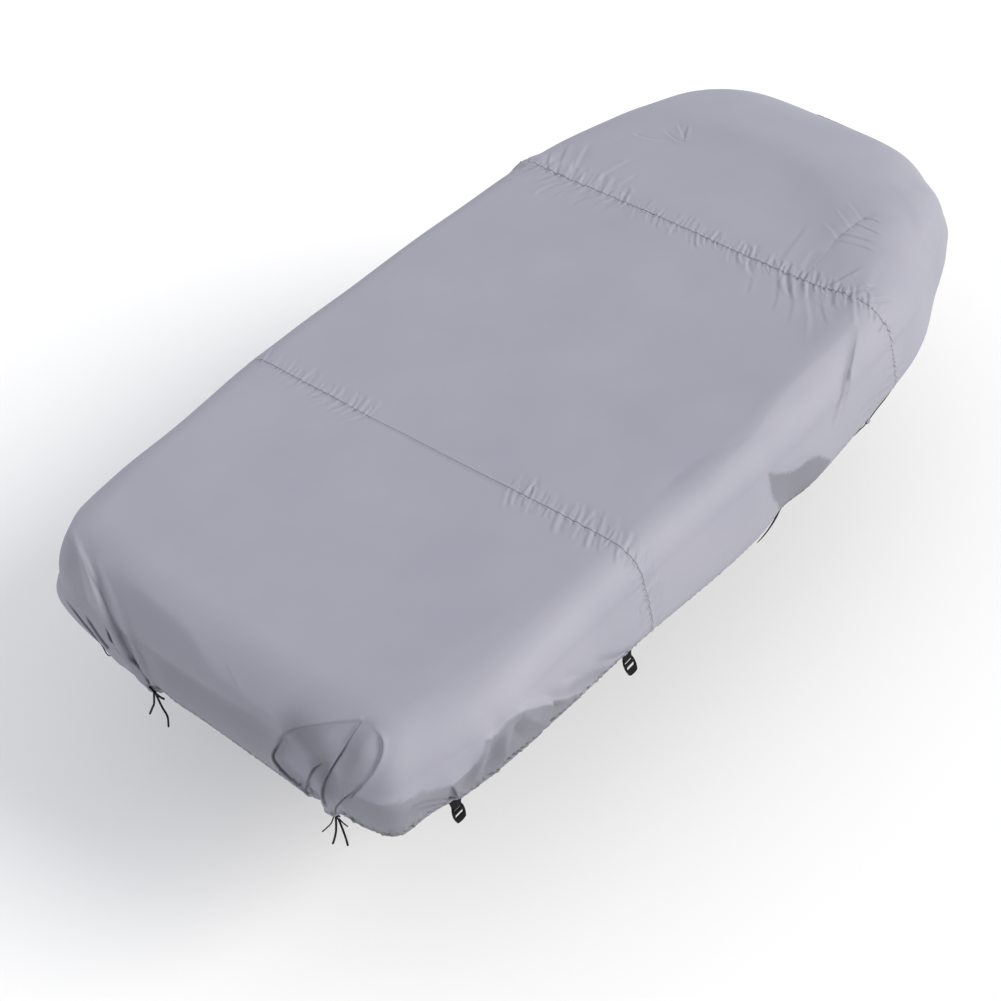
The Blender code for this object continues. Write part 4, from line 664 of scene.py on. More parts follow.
# How uneven the gathers are: the least and the most of what each is multiplied by.
GATHER_SIZES = (0.35, 1.45)
GATHER_LEANS = (0.5, 1.3)
GATHER_SWAY = (-0.2, 0.2)      # added to its lean
GATHER_LIFTS = (0.35, 1.4)
GATHER_WIDTHS = (0.8, 1.2)
GATHER_PITCHES = (0.45, 1.6)
ROUTE_SHARES = (0.0, 0.5, 1.0)  # of its length, where the points of its route lie

# Puckers drawn up by the hem's cord, from one place round the hem to another: each place is
# the distance from the starboard stern corner as a share of the whole hem.
# "dark" is how much painted shade the hem's pits get there.
Pucker = namedtuple("Pucker", "start end pitch height lift dark")
PUCKERS = [Pucker(*row) for row in (
    (0.000, 0.035, 0.016, 0.055, 0.0042, 0.8),
    (0.035, 0.110, 0.014, 0.040, 0.0030, 0.9),
    (0.110, 0.230, 0.016, 0.025, 0.0016, 0.5),
    (0.230, 0.380, 0.018, 0.030, 0.0018, 0.5),
    (0.380, 0.530, 0.020, 0.035, 0.0018, 0.5),
    (0.530, 0.880, 0.020, 0.025, 0.0015, 0.4),
    (0.880, 0.960, 0.016, 0.030, 0.0018, 0.6),
    (0.960, 1.000, 0.016, 0.050, 0.0038, 0.7),
)]
PUCKER_REACH = 0.0060          # half-width
PUCKER_EDGE = 0.003            # half-width of its step
PUCKER_START = 0.15            # share of its strength at the hem's edge
PUCKER_HEIGHTS = (0.4, 1.7)    # the least and the most of each, as for the gathers
PUCKER_LEANS = (-0.5, 0.5)
PUCKER_LIFTS = (0.4, 1.3)
PUCKER_WIDTHS = (0.7, 1.4)
PUCKER_PITCHES = (0.5, 1.6)


# ---------------------------------------------------------------- the cloth's surface
def smooth_loop(rows, t):
    """Catmull-Rom curve through closed rows, read at the row numbers t."""
    count = len(rows)
    base = np.floor(t).astype(int)
    f = (t - base)[:, None]
    a, b, c, d = (rows[(base + k) % count] for k in (-1, 0, 1, 2))
    return 0.5 * (2 * b + (c - a) * f + (2 * a - 5 * b + 4 * c - d) * f**2
                  + (3 * b - a - 3 * c + d) * f**3)


def smooth_route(points, per_span):
    """Catmull-Rom curve through an open run of points."""
    p = np.array(points, float)
    p = np.vstack([2 * p[0] - p[1], p, 2 * p[-1] - p[-2]])
    t = np.linspace(1, len(p) - 2, per_span * (len(p) - 3) + 1)
    return smooth_loop(p, np.minimum(t, len(p) - 2 - JUST_UNDER))


def run_lengths(points):
    """Distance along a run of points to each of them."""
    steps = np.linalg.norm(np.diff(points, axis=0), axis=1)
    return np.concatenate([[0], np.cumsum(steps)])


def crowded(count):
    """Shares from 0 to 1 that stand closer together near both ends."""
    u = np.arange(count + 1) / count
    return u - CROWDING * np.sin(TURN * u)


def stations():
    """Outline values at every station, and the station numbers where the runs begin."""
    rows = np.array([s[1:] for s in SECTIONS], float)
    marks = [i for i, s in enumerate(SECTIONS) if s.place in ("corner", "seam")]
    marks.append(len(SECTIONS))
    side = (STERN_ROWS, MID_ROWS, BOW_ROWS)
    counts = side + (ACROSS,) + side[::-1] + (ACROSS,)
    runs = []
    for first, last, count in zip(marks[:-1], marks[1:], counts):
        dense = smooth_loop(rows, np.linspace(first, last, RUN_STEPS))
        length = run_lengths(dense[:, :4])
        u = crowded(count)[:-1]
        runs.append(np.stack([np.interp(u * length[-1], length, v) for v in dense.T], 1))
    table = np.concatenate(runs)
    starts = np.concatenate([[0], np.cumsum(counts)])
    for seam_x, seam_runs in SEAM_RUNS.items():
        for run in seam_runs:
            table[starts[run], [0, 2]] = seam_x
    return table, starts


def coons(star, port, aft, fore):
    """Flat patch between four edges, each an array of points."""
    v = crowded(len(star) - 1)[:, None, None]
    u = crowded(len(aft) - 1)[None, :, None]
    sides = (1 - u) * star[:, None] + u * port[:, None]
    ends = (1 - v) * aft[None] + v * fore[None]
    corners = ((1 - u) * (1 - v) * aft[0] + u * (1 - v) * aft[-1]
               + (1 - u) * v * fore[0] + u * v * fore[-1])
    return sides + ends - corners


def flat_top(edge, starts):
    """Plan of the top as a grid, rows from stern to bow, columns from starboard to port."""
    length = starts[BOW_RUN]
    star = edge[:length + 1]
    port = edge[starts[PORT_RUN] + length - np.arange(length + 1)]
    stern = edge[(len(edge) - np.arange(ACROSS + 1)) % len(edge)]
    bow = edge[length:starts[PORT_RUN] + 1]
    u = crowded(ACROSS)[:, None]
    seams = [star[k] + (port[k] - star[k]) * u for k in (starts[1], starts[2])]
    edges = [stern] + seams + [bow]
    cuts = (0, starts[1], starts[2], length)
    grid = np.zeros((length + 1, ACROSS + 1, 2))
    for k in range(3):
        rows = slice(cuts[k], cuts[k + 1] + 1)
        grid[rows] = coons(star[rows], port[rows], edges[k], edges[k + 1])
    return grid


def skirt_rings(table):
    """Closed rings of points from the top's edge down to the hem."""
    top, rim = table[:, 0:2], table[:, 2:4]
    drop, depth, flare, turn, tuck = table[:, 4:9].T
    reach = np.linalg.norm(rim - top, axis=1)
    out = (rim - top) / reach[:, None]
    skirt = depth - drop
    squeeze = np.minimum(1, HEM_SHARE * skirt / HEM_HEIGHTS[0])
    hem = 1 - (1 - ARC_SHARE) * np.outer(HEM_HEIGHTS, squeeze / skirt)
    arc = np.linspace(0, ARC_SHARE, ARC_RINGS + 1)[:, None] + np.zeros(len(table))
    between = ARC_SHARE + (hem[0] - ARC_SHARE) * np.linspace(0, 1, SKIRT_RINGS + 1)[1:-1, None]
    rings = []
    turn_from = 1 - turn / skirt
    for share in np.vstack([arc, between, hem]):
        angle = np.minimum(share / ARC_SHARE, 1) * math.pi / 2
        down = np.maximum((share - ARC_SHARE) / (1 - ARC_SHARE), 0)
        lean = np.clip(down / np.maximum(turn_from, LEAST_LEAN), 0, 1)
        turned = np.clip((down - turn_from) / (1 - turn_from), 0, 1)
        away = ((reach - flare) * np.sin(angle) + flare * np.sin(lean * math.pi / 2)
                - tuck * turned**TUCK_BEND)
        z = -drop * (1 - np.cos(angle)) - skirt * down
        rings.append(np.column_stack([top + out * away[:, None], z]))
    return np.array(rings)


def unit(vectors):
    return vectors / np.maximum(np.linalg.norm(vectors, axis=1, keepdims=True), TINY)


def face_normals(points, faces):
    """Outward unit normals at the points, weighted by face area."""
    normals = np.zeros_like(points)
    a, b, c = points[faces[:, 0]], points[faces[:, 1]], points[faces[:, 2]]
    face = np.cross(b - a, c - a)
    for k in range(3):
        np.add.at(normals, faces[:, k], face)
    return unit(normals)


Cloth = namedtuple("Cloth", "points normals facts faces panels")
# The columns of a cloth's facts: weave coordinates, height over the hem's edge, place round
# the hem as a cosine and a sine.
WEAVE_U, WEAVE_V, HEIGHT, HEM_COS, HEM_SIN = range(5)
ABOVE = 1.0              # height given to the top, which has no hem of its own


def base_cloth():
    """The cover before its folds: one smooth surface, and its grid of point numbers."""
    table, starts = stations()
    rings = skirt_rings(table)
    grid = flat_top(table[:, 0:2], starts)
    length, count = starts[BOW_RUN], len(table)
    number = np.zeros(grid.shape[:2], int)
    number[:, 0] = np.arange(length + 1)
    number[-1] = length + np.arange(ACROSS + 1)
    number[:, -1] = starts[PORT_RUN] + length - np.arange(length + 1)
    number[0] = (count - np.arange(ACROSS + 1)) % count
    inner = (length - 1) * (ACROSS - 1)
    number[1:-1, 1:-1] = len(rings) * count + np.arange(inner).reshape(length - 1, -1)
    flat = np.column_stack([grid[1:-1, 1:-1].reshape(-1, 2), np.zeros(inner)])
    points = np.vstack([rings.reshape(-1, 3), flat]) + (0, 0, RISE)
    rings = points[:rings.shape[0] * count].reshape(rings.shape)

    down = np.arange(RINGS, 0, -1)[None, :] * count
    lines = np.hstack([number[:, :1] + down, number, number[:, -1:] + down[:, ::-1]])
    along = np.linalg.norm(np.diff(points[lines], axis=1), axis=2)
    girth = np.hstack([np.zeros((length + 1, 1)), np.cumsum(along, axis=1)])
    girth -= girth[:, [lines.shape[1] // 2]]

    steps = np.linalg.norm(np.diff(rings, axis=0), axis=2)
    height = np.vstack([np.cumsum(steps[::-1], axis=0)[::-1], np.zeros((1, count))])
    around = round_hem(rings[-1])
    place = around[:-1] / around[-1] * TURN
    facts = np.zeros((len(points), 5))
    facts[:, HEIGHT] = ABOVE
    skirt = slice(0, rings.shape[0] * count)
    facts[skirt, HEIGHT] = height.ravel()
    facts[skirt, HEM_COS] = np.tile(np.cos(place), len(rings))
    facts[skirt, HEM_SIN] = np.tile(np.sin(place), len(rings))
    top = height[0] - height
    for run, sign in ((BOW_RUN, 1), (STERN_RUN, -1)):
        ends = np.arange(starts[run], starts[run] + ACROSS + 1) % count
        for ring in range(len(rings)):
            facts[ring * count + ends, WEAVE_U] = rings[0, ends, 1]
            facts[ring * count + ends, WEAVE_V] = rings[0, ends, 0] + sign * top[ring, ends]
    facts[lines, WEAVE_U] = girth
    facts[lines, WEAVE_V] = points[number[:, number.shape[1] // 2], 0][:, None]

    quads, panels = [], []
    row_panel = np.searchsorted(starts[1:3], np.arange(length), side="right")
    for j in range(length):
        a, b = lines[j], lines[j + 1]
        quads.append(np.column_stack([a[:-1], b[:-1], b[1:], a[1:]]))
        panels.append(np.full(len(a) - 1, row_panel[j]))
    for run, panel in ((BOW_RUN, 2), (STERN_RUN, 0)):
        here = np.arange(starts[run], starts[run] + ACROSS)
        there = (here + 1) % count
        for ring in range(RINGS):
            a, b = here + ring * count, there + ring * count
            quads.append(np.column_stack([a, a + count, b + count, b]))
            panels.append(np.full(ACROSS, panel))
    quads, panels = np.vstack(quads), np.concatenate(panels)
    diagonal = np.linalg.norm(points[quads[:, 0]] - points[quads[:, 2]], axis=1)
    other = np.linalg.norm(points[quads[:, 1]] - points[quads[:, 3]], axis=1)
    quads[other < diagonal] = np.roll(quads[other < diagonal], -1, axis=1)
    faces = np.vstack([quads[:, [0, 1, 2]], quads[:, [0, 2, 3]]])
    cloth = Cloth(points, face_normals(points, faces), facts, faces, np.tile(panels, 2))
    return cloth, lines, girth, rings[-1]


def splits(faces, panels, halves):
    """Faces cut at the halved edges; halves has each edge's new point, or -1."""
    cut = halves >= 0
    amount = cut.sum(1)
    parts, owners = [faces[amount == 0]], [panels[amount == 0]]

    def add(rows, *corners):
        parts.append(np.column_stack(corners))
        owners.append(panels[rows])

    all_cut = np.flatnonzero(amount == 3)
    (a, b, c), (d, e, f) = faces[all_cut].T, halves[all_cut].T
    for corners in ((a, d, f), (d, b, e), (f, e, c), (d, e, f)):
        add(all_cut, *corners)
    for turn in range(3):
        order = [turn, (turn + 1) % 3, (turn + 2) % 3]
        one = np.flatnonzero((amount == 1) & cut[:, turn])
        (a, b, c), d = faces[one][:, order].T, halves[one, turn]
        add(one, a, d, c)
        add(one, d, b, c)
        two = np.flatnonzero((amount == 2) & ~cut[:, turn])
        (a, b, c), (_, e, f) = faces[two][:, order].T, halves[two][:, order].T
        add(two, a, b, e)
        add(two, a, e, f)
        add(two, f, e, c)
    return np.vstack(parts), np.concatenate(owners)


def bowed(step, normal_a, normal_b):
    """How far the middle of each edge bows out from the straight line between its ends."""
    slope_a = step - (step * normal_a).sum(1, keepdims=True) * normal_a
    slope_b = step - (step * normal_b).sum(1, keepdims=True) * normal_b
    return (slope_a - slope_b) / 8


def refined(cloth, longest):
    """The cloth with every edge halved until none is longer than allowed where it lies."""
    points, normals, facts, faces, panels = cloth
    while True:
        ends = np.sort(np.vstack([faces[:, [0, 1]], faces[:, [1, 2]], faces[:, [2, 0]]]), axis=1)
        keys, place = np.unique(ends[:, 0] * len(points) + ends[:, 1], return_inverse=True)
        a, b = keys // len(points), keys % len(points)
        step = points[b] - points[a]
        size = np.linalg.norm(step, axis=1)
        check = np.flatnonzero(size > FINEST_EDGE)
        middle = (points[a] + points[b]) / 2
        allowed = np.full(len(keys), PLAIN_EDGE)
        mean = (facts[a] + facts[b]) / 2
        allowed[check] = longest(middle[check], mean[check, HEIGHT])
        cut = size > allowed
        if not cut.any():
            return Cloth(points, normals, facts, faces, panels)
        na, nb = normals[a[cut]], normals[b[cut]]
        numbers = np.full(len(keys), -1)
        numbers[cut] = len(points) + np.arange(cut.sum())
        points = np.vstack([points, middle[cut] + bowed(step[cut], na, nb)])
        normals = np.vstack([normals, unit(na + nb)])
        facts = np.vstack([facts, mean[cut]])
        faces, panels = splits(faces, panels, numbers[place].reshape(3, -1).T)


def nearby(points, route, reach):
    """Numbers of the points in the box round a route."""
    low, high = route.min(0) - reach, route.max(0) + reach
    return np.flatnonzero(((points > low) & (points < high)).all(1))


def widest(crease):
    return max(crease.left_reach, crease.right_reach)


def closeness(points, normals, route):
    """Distance in the cloth from a route, which side of it, and the share along it."""
    best = np.full(len(points), np.inf)
    side = np.zeros(len(points))
    share = np.zeros(len(points))
    spans = len(route) - 1
    for k in range(spans):
        a, along = route[k], route[k + 1] - route[k]
        t = np.clip((points - a) @ along / (along @ along), 0, 1)
        away = points - (a + t[:, None] * along)
        lift = (away * normals).sum(1)
        away -= OFF_CLOTH * lift[:, None] * normals
        distance = np.linalg.norm(away, axis=1)
        nearer = distance < best
        left = unit(np.cross(normals, along))
        best[nearer] = distance[nearer]
        side[nearer] = (away * left).sum(1)[nearer]
        share[nearer] = (k + t[nearer]) / spans
    return best, side, share


def beside_each(creases, cloth, times, wider=0.0):
    """Each crease with the numbers of the points near it, and how they lie by its route."""
    for crease in creases:
        route = route_of(crease)
        mine = nearby(cloth.points, route, times * (widest(crease) + wider))
        if len(mine):
            yield crease, mine, *closeness(cloth.points[mine], cloth.normals[mine], route)


def ease(x):
    x = np.clip(x, 0, 1)
    return x * x * (3 - 2 * x)


def ends_strength(share, crease):
    """Strength along a crease, full between its two ends."""
    return ((crease.start + (1 - crease.start) * ease(share / ENDS_SHARE))
            * (crease.end + (1 - crease.end) * ease((1 - share) / ENDS_SHARE)))


def unequal_step(distance, side, edge, fold, roundness=2.0):
    """Height beside a route whose two sides have their own reach and lift."""
    blend = 0.5 + 0.5 * np.tanh(side / edge)
    left = fold.left_lift * np.exp(-(distance / fold.left_reach)**roundness)
    right = fold.right_lift * np.exp(-(distance / fold.right_reach)**roundness)
    return left * blend + right * (1 - blend)


def swell_lift(points):
    """Height of the slack top's broad swells."""
    lift = np.zeros(len(points))
    for s in SWELLS:
        lift += s.lift * np.exp(-((points[:, 0] - s.x) / s.reach_x)**2
                                - ((points[:, 1] - s.y) / s.reach_y)**2)
    return lift


RISE = SWELL_BASE - swell_lift(np.zeros((1, 3)))[0]


def route_of(crease, fold_steps=FOLD_STEPS):
    """Points along a crease, or along a fold, whose own points are given without the rise."""
    if isinstance(crease, Fold):
        return smooth_route(crease.route, fold_steps) + (0, 0, RISE)
    return smooth_route(crease.route, CREASE_STEPS)


def seam_point(seam_x, x, g):
    """Point of the smooth cover at x, at the distance g round it from the centreline."""
    row = np.interp(x, ROW_X, np.arange(len(ROW_X)))
    j = min(int(row), len(ROW_X) - 2)
    column = np.interp(g, GIRTH[ROW_OF[seam_x]], np.arange(LINES.shape[1]))
    i = min(int(column), LINES.shape[1] - 2)
    u, v = column - i, row - j
    corner = SMOOTH.points[LINES[j:j + 2, i:i + 2]]
    return ((1 - v) * ((1 - u) * corner[0, 0] + u * corner[0, 1])
            + v * ((1 - u) * corner[1, 0] + u * corner[1, 1]))


def gathers():
    """Short creases across the seams, each of its own length, lift and slant."""
    rng = np.random.default_rng(7)
    found = []
    for g in GATHERS:
        for side, usual, slant in ((-1, g.aft, g.aft_lean), (1, g.fore, g.fore_lean)):
            place = g.start + g.pitch * rng.uniform(0, 1)
            while place < g.end:
                size = usual * rng.uniform(*GATHER_SIZES)
                lean = slant * rng.uniform(*GATHER_LEANS) + rng.uniform(*GATHER_SWAY)
                route = [seam_point(g.seam_x, g.seam_x + side * size * share,
                                    place + lean * size * share**GATHER_BEND)
                         for share in ROUTE_SHARES]
                lift = g.lift * rng.uniform(*GATHER_LIFTS) * min(1, 0.5 + size / usual / 2)
                flip = rng.choice([-1, 1])
                reach = (GATHER_REACH[0] + GATHER_REACH[1] * size) * rng.uniform(*GATHER_WIDTHS)
                found.append(Crease("gather", route, reach, flip * lift, reach, -flip * lift,
                                    reach * GATHER_EDGE, 1.0, 0.0))
                place += g.pitch * rng.uniform(*GATHER_PITCHES)
    return found


def round_hem(hem):
    """Distance along the closed hem to each of its stations, and the whole of it."""
    return run_lengths(np.vstack([hem, hem[:1]]))


def hem_point(length, share, height):
    """Point of the smooth cover at a share of the way round its hem, at a height over it."""
    count = len(length) - 1
    station = np.interp(share % 1 * length[-1], length, np.arange(count + 1))
    k = int(station)
    f = station - k
    column = np.arange(RINGS, -1, -1) * count
    up = SMOOTH.facts[column + k % count, HEIGHT]
    line = ((1 - f) * SMOOTH.points[column + k % count]
            + f * SMOOTH.points[column + (k + 1) % count])
    return np.array([np.interp(height, up, v) for v in line.T])


def puckers(length):
    """Short creases up from the hem, each of its own height, lift and slant."""
    rng = np.random.default_rng(11)
    found = []
    for p in PUCKERS:
        place = p.start
        while place < p.end:
            tall = p.height * rng.uniform(*PUCKER_HEIGHTS)
            lean = rng.uniform(*PUCKER_LEANS) * tall / length[-1]
            route = [hem_point(length, place + lean * share, tall * share)
                     for share in ROUTE_SHARES]
            lift = p.lift * rng.uniform(*PUCKER_LIFTS)
            flip = rng.choice([-1, 1])
            reach = PUCKER_REACH * rng.uniform(*PUCKER_WIDTHS)
            found.append(Crease("pucker", route, reach, flip * lift, reach, -flip * lift,
                                PUCKER_EDGE, PUCKER_START, 0.0))
            place += p.pitch * rng.uniform(*PUCKER_PITCHES) / length[-1]
    return found


def pit_marks(place):
    """How deep the gathered hem is sunk at each place round it: short uneven pits."""
    rng = np.random.default_rng(17)
    knots = np.cumsum(rng.uniform(*PIT_PITCHES, PIT_COUNT))
    knots = np.concatenate([[0], knots / knots[-1]])
    wide = rng.uniform(*PIT_WIDTHS, PIT_COUNT)
    deep = rng.uniform(*PIT_STRENGTHS, PIT_COUNT)
    place = place % 1
    k = np.clip(np.searchsorted(knots, place, side="right") - 1, 0, PIT_COUNT - 1)
    f = (place - knots[k]) / (knots[k + 1] - knots[k])
    return deep[k] * ease(0.5 + (wide[k] / 2 - np.abs(f - 0.5)) / PIT_FADE)


def hem_place(facts):
    """Place round the hem from the starboard stern corner, as a share of the whole."""
    return np.arctan2(facts[:, HEM_SIN], facts[:, HEM_COS]) / TURN % 1


def edge_beside(away, edge, clear, growth):
    """Longest edge that faces may have at a distance from a line."""
    return edge + growth * np.maximum(away - clear, 0)


def longest_edge(points, heights):
    """Longest edge that the cloth may have at each point."""
    allowed = np.full(len(points), PLAIN_EDGE)
    for seam_x in SEAM_RUNS:
        away = np.abs(points[:, 0] - seam_x)
        allowed = np.minimum(allowed, edge_beside(away, *SEAM_FACES))
    allowed = np.minimum(allowed, edge_beside(heights, *HEM_FACES))
    for creases, faces in ((FOLDS, FOLD_FACES), (CREASES, CREASE_FACES),
                           (FACETS + SHADES, FACET_FACES)):
        for crease in creases:
            route = route_of(crease, CREASE_STEPS)
            mine = nearby(points, route, FACES_REACH)
            if len(mine):
                away, _, _ = closeness(points[mine], np.zeros((len(mine), 3)), route)
                allowed[mine] = np.minimum(allowed[mine], edge_beside(away, *faces))
    return allowed


def drawn_flat(cloth, fold, mine):
    """Share of a fold that is left: the elastic hem draws the quarter's folds flat."""
    if fold.name not in FLAT_FOLDS:
        return 1.0
    return FLAT_SHARE + (1 - FLAT_SHARE) * ease(cloth.facts[mine, HEIGHT] / FLAT_HEIGHT)


def planes(cloth):
    """Height of the wider folded planes, none at the hem."""
    lift = np.zeros(len(cloth.points))
    for facet, mine, distance, side, share in beside_each(FACETS, cloth, FACET_FAR):
        distance = np.hypot(distance, facet.edge) - facet.edge
        step = unequal_step(distance, side, facet.edge, facet, FACET_ROUNDNESS)
        lift[mine] += step * ends_strength(share, facet)
    return lift * ease(cloth.facts[:, HEIGHT] / FACET_HEM)


def within(places, outline):
    """Distance of flat places from an outline, negative outside it."""
    best = np.full(len(places), np.inf)
    crossings = np.zeros(len(places), int)
    for a, b in zip(outline, np.roll(outline, -1, axis=0)):
        along = b - a
        t = np.clip((places - a) @ along / (along @ along), 0, 1)
        best = np.minimum(best, np.linalg.norm(places - a - t[:, None] * along, axis=1))
        spans = (a[1] > places[:, 1]) != (b[1] > places[:, 1])
        level = np.where(b[1] == a[1], 1.0, b[1] - a[1])
        meets = a[0] + (places[:, 1] - a[1]) / level * along[0]
        crossings += spans & (places[:, 0] < meets)
    return np.where(crossings % 2 == 1, best, -best)


def painted_shade(cloth):
    """How much painted shade each point gets where the cloth is tucked in or turned under."""
    dull = np.zeros(len(cloth.points))
    for shade, mine, distance, side, share in beside_each(SHADES, cloth, SHADE_FAR):
        here = unequal_step(distance, side, shade.edge, shade, SHADE_ROUNDNESS)
        dull[mine] = np.maximum(dull[mine], here * ends_strength(share, shade))
    mine = np.flatnonzero(cloth.points[:, 1] < PATCH_BEAM)
    for patch in PATCHES:
        inside = within(cloth.points[mine][:, [0, 2]], np.array(patch.outline))
        dull[mine] = np.maximum(dull[mine], patch.dull * ease(0.5 + inside / PATCH_EDGE))
    return dull


def folded(cloth, fine):
    """The cloth's points lifted into its folds, and the painted shade in closed gaps."""
    lift = planes(cloth)
    gap = np.zeros(len(lift))
    for fold, mine, distance, side, share in beside_each(FOLDS, cloth, CREASE_FAR):
        step = unequal_step(distance, side, FOLD_EDGE, fold) * (1 - share**2)
        lift[mine] += step * drawn_flat(cloth, fold, mine)
    lift += top_waves(cloth)
    for crease, mine, distance, side, share in beside_each(CREASES + fine, cloth, CREASE_FAR):
        strength = ends_strength(share, crease)
        # painted shade in the crease's closed gap, which also sinks
        closed = crease.gap * strength * np.exp(-(distance / GAP_REACH)**2)
        lift[mine] += unequal_step(distance, side, crease.edge, crease) * strength
        lift[mine] -= GAP_DEPTH * closed
        gap[mine] = np.maximum(gap[mine], closed)
    return cloth.points + cloth.normals * lift[:, None], gap


def lining(cloth, fine):
    """The cloth's inner face: it follows the folds and swells, and lies clear below creases."""
    lift = planes(cloth) + top_waves(cloth)
    for fold, mine, distance, side, share in beside_each(FOLDS, cloth, CREASE_FAR):
        step = unequal_step(distance, side, FOLD_EDGE, fold)
        lower = np.minimum(unequal_step(distance, distance, FOLD_EDGE, fold),
                           unequal_step(distance, -distance, FOLD_EDGE, fold))
        close = np.exp(-(distance / CLEAR_REACH)**2)
        step = (step + (np.minimum(step, lower) - step) * close) * (1 - share**2)
        lift[mine] += step * drawn_flat(cloth, fold, mine)
    clear = np.zeros(len(lift))
    for facet, mine, distance, _, _ in beside_each(FACETS, cloth, CREASE_FAR, 2 * CLEAR_REACH):
        tall = max(abs(facet.left_lift), abs(facet.right_lift))
        near = np.exp(-(distance / (widest(facet) + 2 * CLEAR_REACH))**2)
        clear[mine] += FACET_CLEAR * tall * near
    clear *= ease(cloth.facts[:, HEIGHT] / FACET_HEM)
    for crease, mine, distance, _, share in beside_each(CREASES + fine, cloth,
                                                        CREASE_FAR, CLEAR_REACH):
        deep = max(-crease.left_lift, -crease.right_lift, 0) + GAP_DEPTH * crease.gap
        near = np.exp(-(distance / (widest(crease) + CLEAR_REACH))**2)
        below = CREASE_CLEAR * deep * near * ends_strength(share, crease)
        clear[mine] = np.maximum(clear[mine], below)
    return cloth.points + cloth.normals * (lift - clear)[:, None]


def slack(points):
    """Faint uneven waves of the top."""
    rng = np.random.default_rng(3)
    lift = np.zeros(len(points))
    for _ in range(WAVE_COUNT):
        wave = rng.uniform(*WAVE_LENGTHS)
        turn = rng.uniform(0, math.pi)
        phase = rng.uniform(0, TURN)
        place = points[:, 0] * math.cos(turn) + points[:, 1] * math.sin(turn)
        lift += WAVE_LIFT * wave * np.sin(place * TURN / wave + phase)
    return lift


def top_waves(cloth):
    """Height of the slack top's swells and waves, none where the cloth hangs upright."""
    upward = np.clip(cloth.normals[:, 2], 0, 1)
    return swell_lift(cloth.points) * upward**2 + slack(cloth.points) * upward


def ridges(place, profile):
    """Height of a profile's ridges and grooves at each place across them."""
    return sum(lift * np.exp(-((place - middle) / reach)**2) for lift, middle, reach in profile)


def rolled(height):
    """How far the hem's rounded lower edge draws the cloth in, at a height over it."""
    low = np.clip(HEM_ROLL - height, 0, HEM_ROLL)
    return HEM_ROLL - np.sqrt(HEM_ROLL**2 - low**2)


def seams_and_hem(cloth, points, gap):
    """Adds the lapped seams, the cased hem and their painted shade to folded points."""
    lift = np.zeros(len(points))
    for seam_x, shade in SEAM_SHADES.items():
        mine = np.flatnonzero(np.abs(cloth.points[:, 0] - seam_x) < SEAM_BAND)
        away = cloth.points[mine, 0] - seam_x
        lift[mine] += ridges(away, SEAM_PROFILE)
        girth = cloth.facts[mine, WEAVE_U]
        uneven = 0.7 + 0.3 * np.sin(girth * SEAM_WAVES[0] + 1.0) * np.sin(girth * SEAM_WAVES[1])
        if seam_x == MID_SEAM_X:
            flat = np.exp(-((girth - FLAT_SEAM_PLACE) / FLAT_SEAM_REACH)**4)
            uneven = uneven * (1 - FLAT_SEAM_SHARE * flat)
        # painted shade along the seam's groove
        dark = shade * uneven * np.exp(-(away / SEAM_LINE)**2)
        gap[mine] = np.maximum(gap[mine], dark)
    mine = np.flatnonzero(cloth.facts[:, HEIGHT] < HEM_BAND)
    height = cloth.facts[mine, HEIGHT]
    place = hem_place(cloth.facts[mine])
    pits = pit_marks(place + PIT_SLANT * (height - PIT_PLACE) / HEM_AROUND)
    strength = np.zeros(len(mine))
    for p in PUCKERS:
        strength[(place >= p.start) & (place < p.end)] = p.dark
    # painted shade in the hem's pits
    dark = strength * pits * np.exp(-((height - PIT_PLACE) / PIT_HEIGHT)**4)
    lift[mine] += ridges(height, HEM_PROFILE) - PIT_DEPTH * dark - rolled(height)
    gap[mine] = np.maximum(gap[mine], dark)
    return points + cloth.normals * lift[:, None], gap


# ---------------------------------------------------------------- materials
class Wire:
    """A shader socket that takes part in sums as a number does."""

    def __init__(self, finish, socket):
        self.finish = finish
        self.socket = socket

    def combine(self, operation, other=0.0):
        return self.finish.node("ShaderNodeMath", {"operation": operation}, {0: self, 1: other})

    def __add__(self, other):
        return self.combine("ADD", other)

    def __mul__(self, other):
        return self.combine("MULTIPLY", other)

    def __sub__(self, other):
        return self.combine("SUBTRACT", other)

    def sine(self):
        return self.combine("SINE")

    def share(self):
        """A wave from -1 to 1 as a share from 0 to 1."""
        return self * 0.5 + 0.5

    def kept(self):
        """Held between 0 and 1."""
        return self.finish.node("ShaderNodeClamp", {}, {"Value": self})


